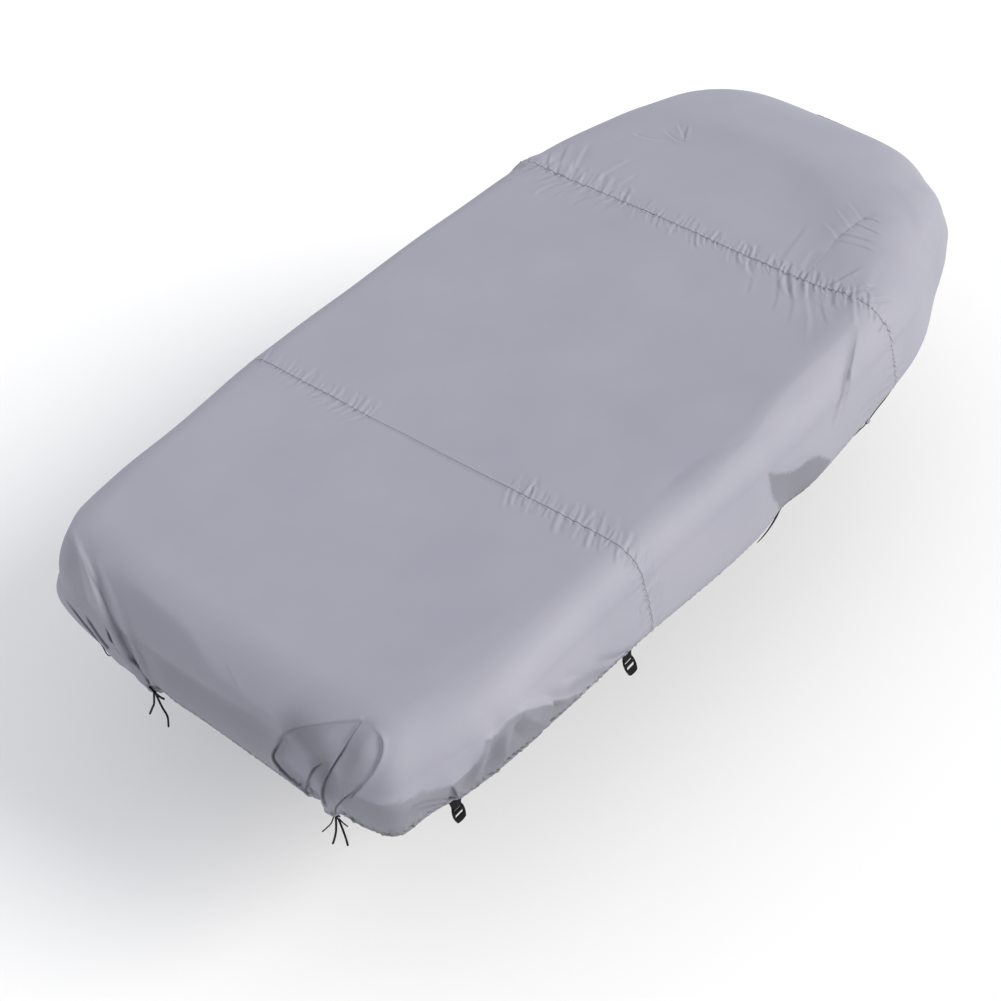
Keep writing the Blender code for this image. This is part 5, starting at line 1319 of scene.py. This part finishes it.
class Finish:
    """A Principled material being put together."""

    def __init__(self, name, colour, roughness, **constants):
        self.material = bpy.data.materials.new(name)
        self.material.use_nodes = True
        self.tree = self.material.node_tree
        self.shader = self.tree.nodes["Principled BSDF"]
        self.shader.inputs["Base Color"].default_value = (*colour, 1.0)
        self.shader.inputs["Roughness"].default_value = roughness
        for socket, value in constants.items():
            self.shader.inputs[socket.replace("_", " ")].default_value = value
        self.material.diffuse_color = (*colour, 1.0)

    def node(self, kind, settings, sockets, output=0):
        """A node with its settings made first, then the values or links of its sockets."""
        made = self.tree.nodes.new(kind)
        for name, value in settings.items():
            setattr(made, name, value)
        for name, value in sockets.items():
            if isinstance(value, Wire):
                self.tree.links.new(value.socket, made.inputs[name])
            else:
                made.inputs[name].default_value = value
        return Wire(self, made.outputs[output])

    def feed(self, socket, value):
        self.tree.links.new(value.socket, self.shader.inputs[socket])

    def place(self):
        return self.node("ShaderNodeTexCoord", {}, {}, "Object")

    def weave_place(self):
        """Distance across and along the piece, from its own map."""
        both = self.node("ShaderNodeUVMap", {"uv_map": "weave"}, {})
        return (self.node("ShaderNodeSeparateXYZ", {}, {0: both}, "X"),
                self.node("ShaderNodeSeparateXYZ", {}, {0: both}, "Y"))

    def noise(self, place, scale, detail=2.0):
        return self.node("ShaderNodeTexNoise", {"noise_dimensions": "3D"},
                         {"Vector": place, "Scale": scale, "Detail": detail}, "Fac")

    def mix(self, share, first, second):
        """Colour between two, by a share."""
        ends = [end if isinstance(end, Wire) else (*end, 1.0) for end in (first, second)]
        return self.node("ShaderNodeMix", {"data_type": "RGBA"},
                         {0: share, 6: ends[0], 7: ends[1]}, 2)

    def raise_by(self, height, distance, strength):
        bump = self.node("ShaderNodeBump", {}, {"Height": height, "Distance": distance,
                                                "Strength": strength})
        self.feed("Normal", bump)


def tinted(colour, red, green, blue):
    return colour[0] * red, colour[1] * green, colour[2] * blue


def shaded(colour, share):
    return tinted(colour, share, share, share)


def cloth_finish():
    """Dull coated polyester: plain weave, faint mottling, painted shade in gaps and tucks."""
    made = Finish("coated polyester", CLOTH_COLOUR, 0.6, Specular_IOR_Level=0.3)
    place = made.place()
    across, along = made.weave_place()
    cool = (made.noise(place, scale=3.1, detail=3.0) * 3.0 - 1.0).kept()
    warm = (made.noise(place, scale=11.0) * 3.0 - 1.0).kept()
    colour = made.mix(cool, tinted(CLOTH_COLOUR, 0.95, 0.965, 0.98), shaded(CLOTH_COLOUR, 1.03))
    colour = made.mix(warm * 0.4, colour, tinted(CLOTH_COLOUR, 1.03, 1.0, 0.99))
    thread = (across * (TURN / WEAVE_PITCH)).sine() * (along * (TURN / WEAVE_PITCH)).sine()
    colour = made.mix(thread.share() * 0.06, colour, shaded(CLOTH_COLOUR, 0.7))
    # painted shade in closed gaps, along the seams' lines and in the hem's pits
    gap = made.node("ShaderNodeAttribute", {"attribute_name": "gap"}, {}, "Fac")
    # painted shade over cloth that is tucked in or turned under
    dull = made.node("ShaderNodeAttribute", {"attribute_name": "painted_shade"}, {}, "Fac")
    colour = made.mix(dull.kept(), colour, PAINTED_SHADE_COLOUR)
    made.feed("Base Color", made.mix((gap * 1.1).kept(), colour, PAINTED_SHADE_COLOUR))
    made.feed("Roughness", made.noise(place, scale=14.0) * 0.10 + 0.55)
    grain = thread + made.noise(place, scale=420.0, detail=1.0) * 0.6
    made.raise_by(grain, distance=0.0001, strength=0.4)
    return made.material


def webbing_finish():
    """Black webbing, ribbed along its length."""
    made = Finish("black webbing", WEBBING_COLOUR, 0.7, Specular_IOR_Level=0.05)
    place = made.place()
    x = made.node("ShaderNodeSeparateXYZ", {}, {0: place}, "X")
    z = made.node("ShaderNodeSeparateXYZ", {}, {0: place}, "Z")
    ribs = (x * (TURN / RIB_PITCH)).sine()
    picks = (z * (TURN / PICK_PITCH) + ribs * 1.2).sine()
    made.feed("Base Color", made.mix((ribs * picks).share().kept(), *WEBBING_SHADES))
    made.feed("Roughness", made.noise(place, scale=160.0) * 0.2 + 0.52)
    made.raise_by(ribs + picks * 0.5, distance=0.0003, strength=0.8)
    return made.material


def cord_finish():
    """Black braid, from the cord's own length and turn."""
    made = Finish("black cord", CORD_COLOUR, 0.65, Specular_IOR_Level=0.06)
    around, along = made.weave_place()
    left = (along * (TURN / BRAID_PITCH) + around * (2 * TURN)).sine()
    right = (along * (TURN / BRAID_PITCH) - around * (2 * TURN)).sine()
    braid = left * right
    made.feed("Base Color", made.mix(braid.share().kept(), *CORD_SHADES))
    made.feed("Roughness", braid * 0.08 + 0.58)
    made.raise_by(braid, distance=0.0004, strength=0.9)
    return made.material


def plastic_finish(name, colour):
    """Moulded plastic with a fine grain and paler, worn patches."""
    made = Finish(name, colour, PLASTIC_ROUGHNESS, Specular_IOR_Level=0.07)
    place = made.place()
    wear = (made.noise(place, scale=90.0, detail=3.0) * 3.0 - 1.4).kept()
    made.feed("Base Color", made.mix(wear * 0.5, colour, shaded(colour, 1.9)))
    made.feed("Roughness", made.noise(place, scale=240.0) * 0.16 + (PLASTIC_ROUGHNESS - 0.08))
    made.raise_by(made.noise(place, scale=1400.0, detail=1.0), distance=0.0001, strength=0.6)
    return made.material


def thread_finish():
    """Sewing thread, twisted."""
    made = Finish("sewing thread", THREAD_COLOUR, 0.7)
    twist = made.noise(made.place(), scale=900.0, detail=1.0)
    made.feed("Base Color", made.mix((twist * 2.0 - 0.5).kept(), shaded(THREAD_COLOUR, 0.7),
                                     shaded(THREAD_COLOUR, 1.3)))
    made.raise_by(twist, distance=0.0002, strength=0.8)
    return made.material


def floor_finish():
    made = Finish("pale floor", FLOOR_COLOUR, 0.9, Specular_IOR_Level=0.0)
    tone = made.noise(made.place(), scale=0.8)
    made.feed("Base Color", made.mix(tone, shaded(FLOOR_COLOUR, 0.995),
                                     shaded(FLOOR_COLOUR, 1.005)))
    return made.material


# ---------------------------------------------------------------- making pieces
def mesh_piece(name, points, faces, finish, sharp_from):
    """Object at the world origin from points and faces, on the cover's one body."""
    mesh = bpy.data.meshes.new(name)
    mesh.from_pydata(np.asarray(points).tolist(), [], np.asarray(faces).tolist())
    mesh.materials.append(finish)
    mesh.shade_smooth()
    mesh.set_sharp_from_angle(angle=math.radians(sharp_from))
    thing = bpy.data.objects.new(name, mesh)
    bpy.context.collection.objects.link(thing)
    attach(thing, "root")
    return thing


def weave_map(mesh, at_corners):
    """The piece's own map, from two values at every corner of every face."""
    layer = mesh.uv_layers.new(name="weave")
    layer.data.foreach_set("uv", np.asarray(at_corners, float).ravel())


def part_of(cloth, index):
    """One panel's faces with their own points."""
    mine = cloth.faces[cloth.panels == index]
    used, faces = np.unique(mine, return_inverse=True)
    return Cloth(cloth.points[used], cloth.normals[used], cloth.facts[used],
                 faces.reshape(-1, 3), np.full(len(mine), index))


def border_of(faces):
    """Directed edges that only one face uses."""
    edges = np.vstack([faces[:, [0, 1]], faces[:, [1, 2]], faces[:, [2, 0]]])
    size = faces.max() + 1
    return edges[~np.isin(edges[:, 0] * size + edges[:, 1], edges[:, 1] * size + edges[:, 0])]


def border_refined(cloth):
    """The cloth with only its border edges halved, at the same places as refined() does it."""
    while True:
        a, b = border_of(cloth.faces).T
        step = cloth.points[b] - cloth.points[a]
        size = np.linalg.norm(step, axis=1)
        middle = (cloth.points[a] + cloth.points[b]) / 2
        facts = (cloth.facts[a] + cloth.facts[b]) / 2
        cut = (size > FINEST_EDGE) & (size > longest_edge(middle, facts[:, HEIGHT]))
        if not cut.any():
            return cloth
        a, b, step, middle, facts = a[cut], b[cut], step[cut], middle[cut], facts[cut]
        na, nb = cloth.normals[a], cloth.normals[b]
        count = len(cloth.points)
        keys = np.minimum(a, b) * count + np.maximum(a, b)
        order = np.argsort(keys)
        ends = np.stack([cloth.faces, np.roll(cloth.faces, -1, axis=1)], 2)
        mine = ends.min(2) * count + ends.max(2)
        found = np.clip(np.searchsorted(keys[order], mine), 0, len(keys) - 1)
        halves = np.where(keys[order][found] == mine, count + order[found], -1)
        faces, panels = splits(cloth.faces, cloth.panels, halves)
        cloth = Cloth(np.vstack([cloth.points, middle + bowed(step, na, nb)]),
                      np.vstack([cloth.normals, unit(na + nb)]),
                      np.vstack([cloth.facts, facts]), faces, panels)


def part_at_seams(cloth, points, middle):
    """Draws the panel's cut edges back from the middle of their seams."""
    for seam_x in SEAM_RUNS:
        on = np.abs(cloth.points[:, 0] - seam_x) < SAME_PLACE
        points[on, 0] += SEAM_GAP / 2 * math.copysign(1, middle - seam_x)


def panel(name, index, fine, finish):
    """One panel of cloth: its outer face with every crease, its inner face, closed edges."""
    own = part_of(SMOOTH, index)
    outer, inner = refined(own, longest_edge), border_refined(own)
    outside, gap = seams_and_hem(outer, *folded(outer, fine))
    inside = lining(inner, fine)
    height = inner.facts[:, HEIGHT]
    cased = ease((HEM_TOP - height) / HEM_TAPER)
    thick = SHEET + (HEM_THICK - SHEET) * cased - rolled(height)
    inside -= inner.normals * thick[:, None]
    middle = own.points[:, 0].mean()
    part_at_seams(outer, outside, middle)
    part_at_seams(inner, inside, middle)

    tree = KDTree(len(outer.points))
    outer_edge, inner_edge = border_of(outer.faces), border_of(inner.faces)
    for i in np.unique(outer_edge):
        tree.insert(outer.points[i], int(i))
    tree.balance()
    partner = np.full(len(outer.points), -1)
    number = np.arange(len(inside)) + len(outside)
    for i in np.unique(inner_edge):
        _, match, _ = tree.find(inner.points[i])
        if height[i] < SAME_PLACE:
            number[i] = match
        partner[match] = number[i]
    a, b = outer_edge.T
    c, d = partner[a], partner[b]
    wall = np.vstack([np.column_stack([b, a, c]), np.column_stack([b, c, d])])
    real = (wall != np.roll(wall, 1, axis=1)).all(1)
    faces = np.vstack([outer.faces, number[inner.faces][:, ::-1], wall[real]])
    used, faces = np.unique(faces, return_inverse=True)
    faces = faces.reshape(-1, 3)
    thing = mesh_piece(name, np.vstack([outside, inside])[used], faces, finish, 70)
    facts = np.vstack([outer.facts, inner.facts])[used]
    weave_map(thing.data, facts[faces.ravel()][:, [WEAVE_U, WEAVE_V]])
    # the painted shade of gaps, seams and pits, and of tucked-in cloth, kept on the points
    for label, values in (("gap", gap), ("painted_shade", painted_shade(outer))):
        layer = thing.data.attributes.new(label, "FLOAT", "POINT")
        layer.data.foreach_set("value", np.concatenate([values, np.zeros(len(inside))])[used])
    corners = outside[outer.faces]
    area = np.linalg.norm(np.cross(corners[:, 1] - corners[:, 0], corners[:, 2] - corners[:, 0]),
                          axis=1).sum() / 2
    return thing, area, BVHTree.FromPolygons(outside.tolist(), outer.faces.tolist())


def tube_quads(reach, sides, count):
    """Quads from ring to ring of a tube, and their corners on its map, round it and along it.
    The last span closes on the first ring where there are as many rings as spans."""
    quads, corners = [], []
    for j in range(len(reach) - 1):
        here, there = j * sides, (j + 1) % count * sides
        for k in range(sides):
            after = (k + 1) % sides
            quads.append((here + k, here + after, there + after, there + k))
            u, v = k / sides, (k + 1) / sides
            corners.append([(u, reach[j]), (v, reach[j]), (v, reach[j + 1]), (u, reach[j + 1])])
    return np.array(quads), np.array(corners)


def tube_shape(path, radius, sides):
    """Round tube along a path with rounded ends: points, faces and its map at their corners."""
    along = unit(np.gradient(path, axis=0))
    length = run_lengths(path)
    side = np.cross(along[0], (0.0, 0.0, 1.0))
    if np.linalg.norm(side) < UPRIGHT:
        side = np.cross(along[0], (1.0, 0.0, 0.0))
    turn = np.arange(sides) * TURN / sides
    last = len(path) - 1
    stops = [(0, -ahead * radius, wide) for ahead, wide in reversed(TIP_RINGS)]
    stops += [(k, 0.0, 1.0) for k in range(len(path))]
    stops += [(last, ahead * radius, wide) for ahead, wide in TIP_RINGS]
    rings = []
    for k, ahead, wide in stops:
        side = side - along[k] * (side @ along[k])
        side /= np.linalg.norm(side)
        up = np.cross(along[k], side)
        around = np.cos(turn)[:, None] * side + np.sin(turn)[:, None] * up
        rings.append(path[k] + along[k] * ahead + around * radius * wide)
    count = len(rings)
    points = np.vstack(rings + [path[:1] - along[:1] * TIP * radius,
                                path[-1:] + along[-1:] * TIP * radius])
    reach = [length[k] + ahead for k, ahead, _ in stops]
    quads, corners = tube_quads(reach, sides, count)
    first, last = count * sides, count * sides + 1
    caps, cap_corners = [], []
    for k in range(sides):
        after = (k + 1) % sides
        u, v = k / sides, (k + 1) / sides
        caps += [(first, after, k), (last, (count - 1) * sides + k, (count - 1) * sides + after)]
        cap_corners += [(u, reach[0]), (v, reach[0]), (u, reach[0]),
                        (u, reach[-1]), (u, reach[-1]), (v, reach[-1])]
    return (points, np.vstack([quads[:, HALVES].reshape(-1, 3), caps]),
            np.vstack([corners[:, HALVES].reshape(-1, 2), cap_corners]))


def cord_piece(cord, finish, **facts):
    """One cord along its route."""
    path = smooth_route(cord.route, CORD_STEPS)
    points, faces, corners = tube_shape(path, cord.diameter / 2, CORD_SIDES)
    thing = mesh_piece(cord.name + "_braid", points, faces, finish, 60)
    weave_map(thing.data, corners)
    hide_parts(cord.name)
    tuple(path[0])
    float(run_lengths(path)[-1])
    [tuple(p) for p in path]


def knot_piece(name, finish):
    """Overhand knot drawn up tight: a closed trefoil whose flat side faces astern."""
    t = np.arange(KNOT_STEPS + 1) * TURN / KNOT_STEPS
    turn = 2 * t - math.pi / 2
    ring = np.column_stack([np.zeros(len(t)), np.cos(turn), np.sin(turn)])
    wave = np.column_stack([np.sin(3 * t), np.cos(3 * t) * np.cos(turn),
                            np.cos(3 * t) * np.sin(turn)])
    path = np.array(KNOT_CENTRE) + KNOT_RING * ring + KNOT_WAVE * wave
    along = unit(np.roll(path[:-1], -1, 0) - np.roll(path[:-1], 1, 0))
    across = np.cross(along, wave[:-1])
    spin = np.arange(CORD_SIDES) * TURN / CORD_SIDES
    rings = path[:-1, None] + KNOT_CORD / 2 * (np.cos(spin)[:, None] * wave[:-1, None]
                                               + np.sin(spin)[:, None] * across[:, None])
    length = run_lengths(path)
    length *= round(length[-1] / BRAID_PITCH) * BRAID_PITCH / length[-1]
    faces, corners = tube_quads(length, CORD_SIDES, KNOT_STEPS)
    thing = mesh_piece(name + "_braid", rings.reshape(-1, 3), faces, finish, 80)
    weave_map(thing.data, corners)
    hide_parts(name)
    return thing


def stitch_row(name, places, trees, finish):
    """A row of stitches: pairs of places on the smooth cover, each pair one dash of thread."""
    points, faces, count = [], [], 0
    for start, end in places:
        run = []
        for share, lift in STITCH_SHAPE:
            place = Vector(start + (end - start) * share)
            hits = [tree.find_nearest(place, STITCH_SEARCH) for tree in trees]
            hits = [hit for hit in hits if hit[0] is not None]
            if not hits:
                break
            spot, normal, _, _ = min(hits, key=lambda hit: hit[3])
            run.append(spot + normal * (lift * THREAD))
        if len(run) < len(STITCH_SHAPE):
            continue
        shape, its_faces, _ = tube_shape(np.array(run), THREAD / 2, STITCH_SIDES)
        points.append(shape)
        faces.append(its_faces + count)
        count += len(shape)
    mesh_piece(name, np.vstack(points), np.vstack(faces), finish, 80)


def dashes(count, place_at):
    """Start and end places of stitches, from a function of the share along their row."""
    step = 1.0 / count
    return [(place_at(k * step), place_at((k + STITCH_SHARE) * step)) for k in range(count)]


def chosen(thing):
    bpy.ops.object.select_all(action="DESELECT")
    thing.select_set(True)
    bpy.context.view_layer.objects.active = thing


def applied(thing, kind, **settings):
    """Adds a modifier with its settings and applies it."""
    chosen(thing)
    modifier = thing.modifiers.new(kind.title(), kind)
    for name, value in settings.items():
        setattr(modifier, name, value)
    bpy.ops.object.modifier_apply(modifier=modifier.name)


def reworked(node, suffix, finish, soften, levels):
    """Detailed piece from a node's shape: joined up, its edges softened, then smoothed."""
    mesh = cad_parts[node].data.copy()
    mesh.materials.clear()
    mesh.materials.append(finish)
    thing = bpy.data.objects.new(node + suffix, mesh)
    bpy.context.collection.objects.link(thing)
    chosen(thing)
    bpy.ops.object.mode_set(mode="EDIT")
    bpy.ops.mesh.select_all(action="SELECT")
    bpy.ops.mesh.remove_doubles(threshold=JOINED)
    bpy.ops.mesh.tris_convert_to_quads(face_threshold=math.radians(40),
                                       shape_threshold=math.radians(60))
    bpy.ops.object.mode_set(mode="OBJECT")
    if soften:
        applied(thing, "BEVEL", width=soften, segments=2, limit_method="ANGLE",
                angle_limit=math.radians(50))
    applied(thing, "SUBSURF", levels=levels, render_levels=levels)
    mesh = thing.data
    mesh.shade_smooth()
    mesh.set_sharp_from_angle(angle=math.radians(75))
    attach(thing, "root")
    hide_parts(node)
    return thing


def pick_rim(thing, level):
    """Selects the open rim at one level of a round piece, and nothing else."""
    bpy.ops.mesh.select_all(action="DESELECT")
    shape = bmesh.from_edit_mesh(thing.data)
    for edge in shape.edges:
        if edge.is_boundary and all(abs(v.co.z - level) < JOINED for v in edge.verts):
            edge.select = True
    bmesh.update_edit_mesh(thing.data)


def stopper_piece(name, finish):
    """Barrel cord stopper: a bored body with a groove round it and a button at one end."""
    bpy.ops.object.select_all(action="DESELECT")
    bpy.ops.mesh.primitive_cylinder_add(vertices=40, radius=STOPPER_WIDTH / 2,
                                        depth=STOPPER_LENGTH, end_fill_type="NOTHING")
    thing = bpy.context.object
    thing.name = name + "_barrel"
    half = STOPPER_LENGTH / 2
    bpy.ops.object.mode_set(mode="EDIT")
    for level in STOPPER_LEVELS:
        bpy.ops.mesh.select_all(action="SELECT")
        bpy.ops.mesh.bisect(plane_co=(0, 0, level * half), plane_no=(0, 0, 1))
    shape = bmesh.from_edit_mesh(thing.data)
    for level, wide in STOPPER_WAIST.items():
        for vertex in shape.verts:
            if abs(vertex.co.z - level * half) < JOINED:
                vertex.co.x *= wide
                vertex.co.y *= wide
    for end in (-1, 1):
        pick_rim(thing, end * half)
        bpy.ops.mesh.extrude_edges_move()
        inward = STOPPER_BORE / STOPPER_WIDTH / STOPPER_WAIST[end]
        bpy.ops.transform.resize(value=(inward, inward, 1))
    pick_rim(thing, half)
    bpy.ops.mesh.extrude_edges_move(
        TRANSFORM_OT_translate={"value": (0, 0, -STOPPER_LENGTH)})
    bpy.ops.mesh.select_all(action="SELECT")
    bpy.ops.mesh.remove_doubles(threshold=JOINED)
    bpy.ops.mesh.normals_make_consistent(inside=False)
    bpy.ops.object.mode_set(mode="OBJECT")
    turn = Vector(STOPPER_ALONG).to_track_quat("Z", "Y").to_matrix().to_4x4()
    thing.data.transform(Matrix.Translation(STOPPER_CENTRE) @ turn)
    thing.data.materials.append(finish)
    applied(thing, "BEVEL", width=0.0005, segments=3, limit_method="ANGLE",
            angle_limit=math.radians(35))
    thing.data.shade_smooth()
    thing.data.set_sharp_from_angle(angle=math.radians(50))
    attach(thing, "root")
    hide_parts(name)
    return thing


# ---------------------------------------------------------------- the camera, light and floor
scene = bpy.context.scene
scene.view_settings.view_transform = "Standard"
camera_data = bpy.data.cameras.new("camera")
camera_data.lens = LENS
camera_data.sensor_width = SENSOR
camera_data.clip_end = 60
camera = bpy.data.objects.new("camera", camera_data)
camera.matrix_world = (Matrix.Translation(CAMERA_PLACE)
                       @ Matrix((CAMERA_RIGHT, CAMERA_UP, CAMERA_BACK)).transposed().to_4x4())
bpy.context.collection.objects.link(camera)
scene.camera = camera

world = bpy.data.worlds.new("studio")
world.use_nodes = True
sky = world.node_tree
background = sky.nodes["Background"]
background.inputs["Color"].default_value = (*AMBIENT_COLOUR, 1.0)
direction = sky.nodes.new("ShaderNodeTexCoord")
split = sky.nodes.new("ShaderNodeSeparateXYZ")
level = sky.nodes.new("ShaderNodeMapRange")
level.inputs["To Min"].default_value = AMBIENT_HORIZON
level.inputs["To Max"].default_value = AMBIENT_ZENITH
sky.links.new(direction.outputs["Generated"], split.inputs[0])
sky.links.new(split.outputs["Z"], level.inputs["Value"])
sky.links.new(level.outputs[0], background.inputs["Strength"])
scene.world = world

key_data = bpy.data.lights.new("key light", "SUN")
key_data.energy = KEY_STRENGTH
key_data.angle = math.radians(KEY_SPREAD)
key_data.color = KEY_COLOUR
key = bpy.data.objects.new("key light", key_data)
key.matrix_world = Vector(KEY_DIRECTION).to_track_quat("Z", "Y").to_matrix().to_4x4()
bpy.context.collection.objects.link(key)

bpy.ops.object.select_all(action="DESELECT")
bpy.ops.mesh.primitive_plane_add(size=60)
floor = bpy.context.object
floor.name = "floor"
floor.data.transform(Matrix.Translation((0, 0, FLOOR_Z)))
floor.data.materials.append(floor_finish())

# ---------------------------------------------------------------- cords
black_cord = cord_finish()
knot_part = knot_piece("tie_starboard_knot", black_cord)
stopper_part = stopper_piece("drawcord_stopper", plastic_finish("grey plastic", GREY))
HANGS = dict(stiffness="limp", lay="hanging")
LIES = dict(stiffness="limp", lay="loose")
CORD_FACTS = {
    "tie_port_wrap": dict(far_end="object", **LIES),
    "tie_port_short_end": dict(far_end="bare", **HANGS),
    "tie_port_long_end": dict(far_end="bare", **HANGS),
    "tie_starboard_loop": dict(far_end="knot", with_pieces=[knot_part], **LIES),
    "tie_starboard_aft_end": dict(far_end="bare", **HANGS),
    "tie_starboard_fore_end": dict(far_end="bare", **HANGS),
    "tie_starboard_aft_tail": dict(far_end="bare", **HANGS),
    "tie_starboard_fore_tail": dict(far_end="bare", **LIES),
    "drawcord_port_quarter": dict(far_end="object", **LIES),
    "drawcord_starboard_shoulder": dict(far_end="object", **LIES),
    "drawcord_starboard_side": dict(far_end="object", with_pieces=[stopper_part], **LIES),
    "drawcord_bow": dict(far_end="object", **LIES),
}
for cord in CORDS:
    cord_piece(cord, black_cord, **CORD_FACTS[cord.name])

# ---------------------------------------------------------------- the three panels
SMOOTH, LINES, GIRTH, HEM_RING = base_cloth()
ROW_X = SMOOTH.points[LINES[:, LINES.shape[1] // 2], 0]
ROW_OF = {MID_SEAM_X: STERN_ROWS, FORE_SEAM_X: STERN_ROWS + MID_ROWS}
HEM_LENGTH = round_hem(HEM_RING)
FINE = gathers() + puckers(HEM_LENGTH)
coated = cloth_finish()
trees = []
for index, name in enumerate(("stern_panel", "middle_panel", "bow_panel")):
    thing, area, tree = panel(name + "_cloth", index, FINE, coated)
    trees.append(tree)
    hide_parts(name)
    width = GIRTH[:, -1].max() - GIRTH[:, 0].min()
    float(area / width * PANEL_CUT)

# ---------------------------------------------------------------- stitching
thread = thread_finish()
for name, seam_x in (("middle", MID_SEAM_X), ("forward", FORE_SEAM_X)):
    row = GIRTH[ROW_OF[seam_x]]
    low, high = row[0] + SEAM_ENDS, row[-1] - SEAM_ENDS
    count = round((high - low) / STITCH_PITCH)

    def beside(share, x=seam_x - LAP):
        return seam_point(seam_x, x, low + (high - low) * share)

    stitch_row(name + "_seam_stitches", dashes(count, beside), trees, thread)
count = round(HEM_LENGTH[-1] / STITCH_PITCH)


def above_hem(share):
    return hem_point(HEM_LENGTH, share, STITCH_HEIGHT)


stitch_row("hem_stitches", dashes(count, above_hem), trees, thread)

# ---------------------------------------------------------------- webbing and buckles
webbing = webbing_finish()
black_plastic = plastic_finish("black plastic", BLACK)
for place in ("starboard_quarter", "starboard_middle", "port_quarter", "port_middle"):
    tab = reworked("tab_" + place, "_webbing", webbing, 0.0003, 1)
    reworked("buckle_" + place, "_plate", black_plastic, 0, 1)
for side in ("starboard", "port"):
    strap = reworked("hem_strap_" + side, "_webbing", webbing, 0.0003, 1)
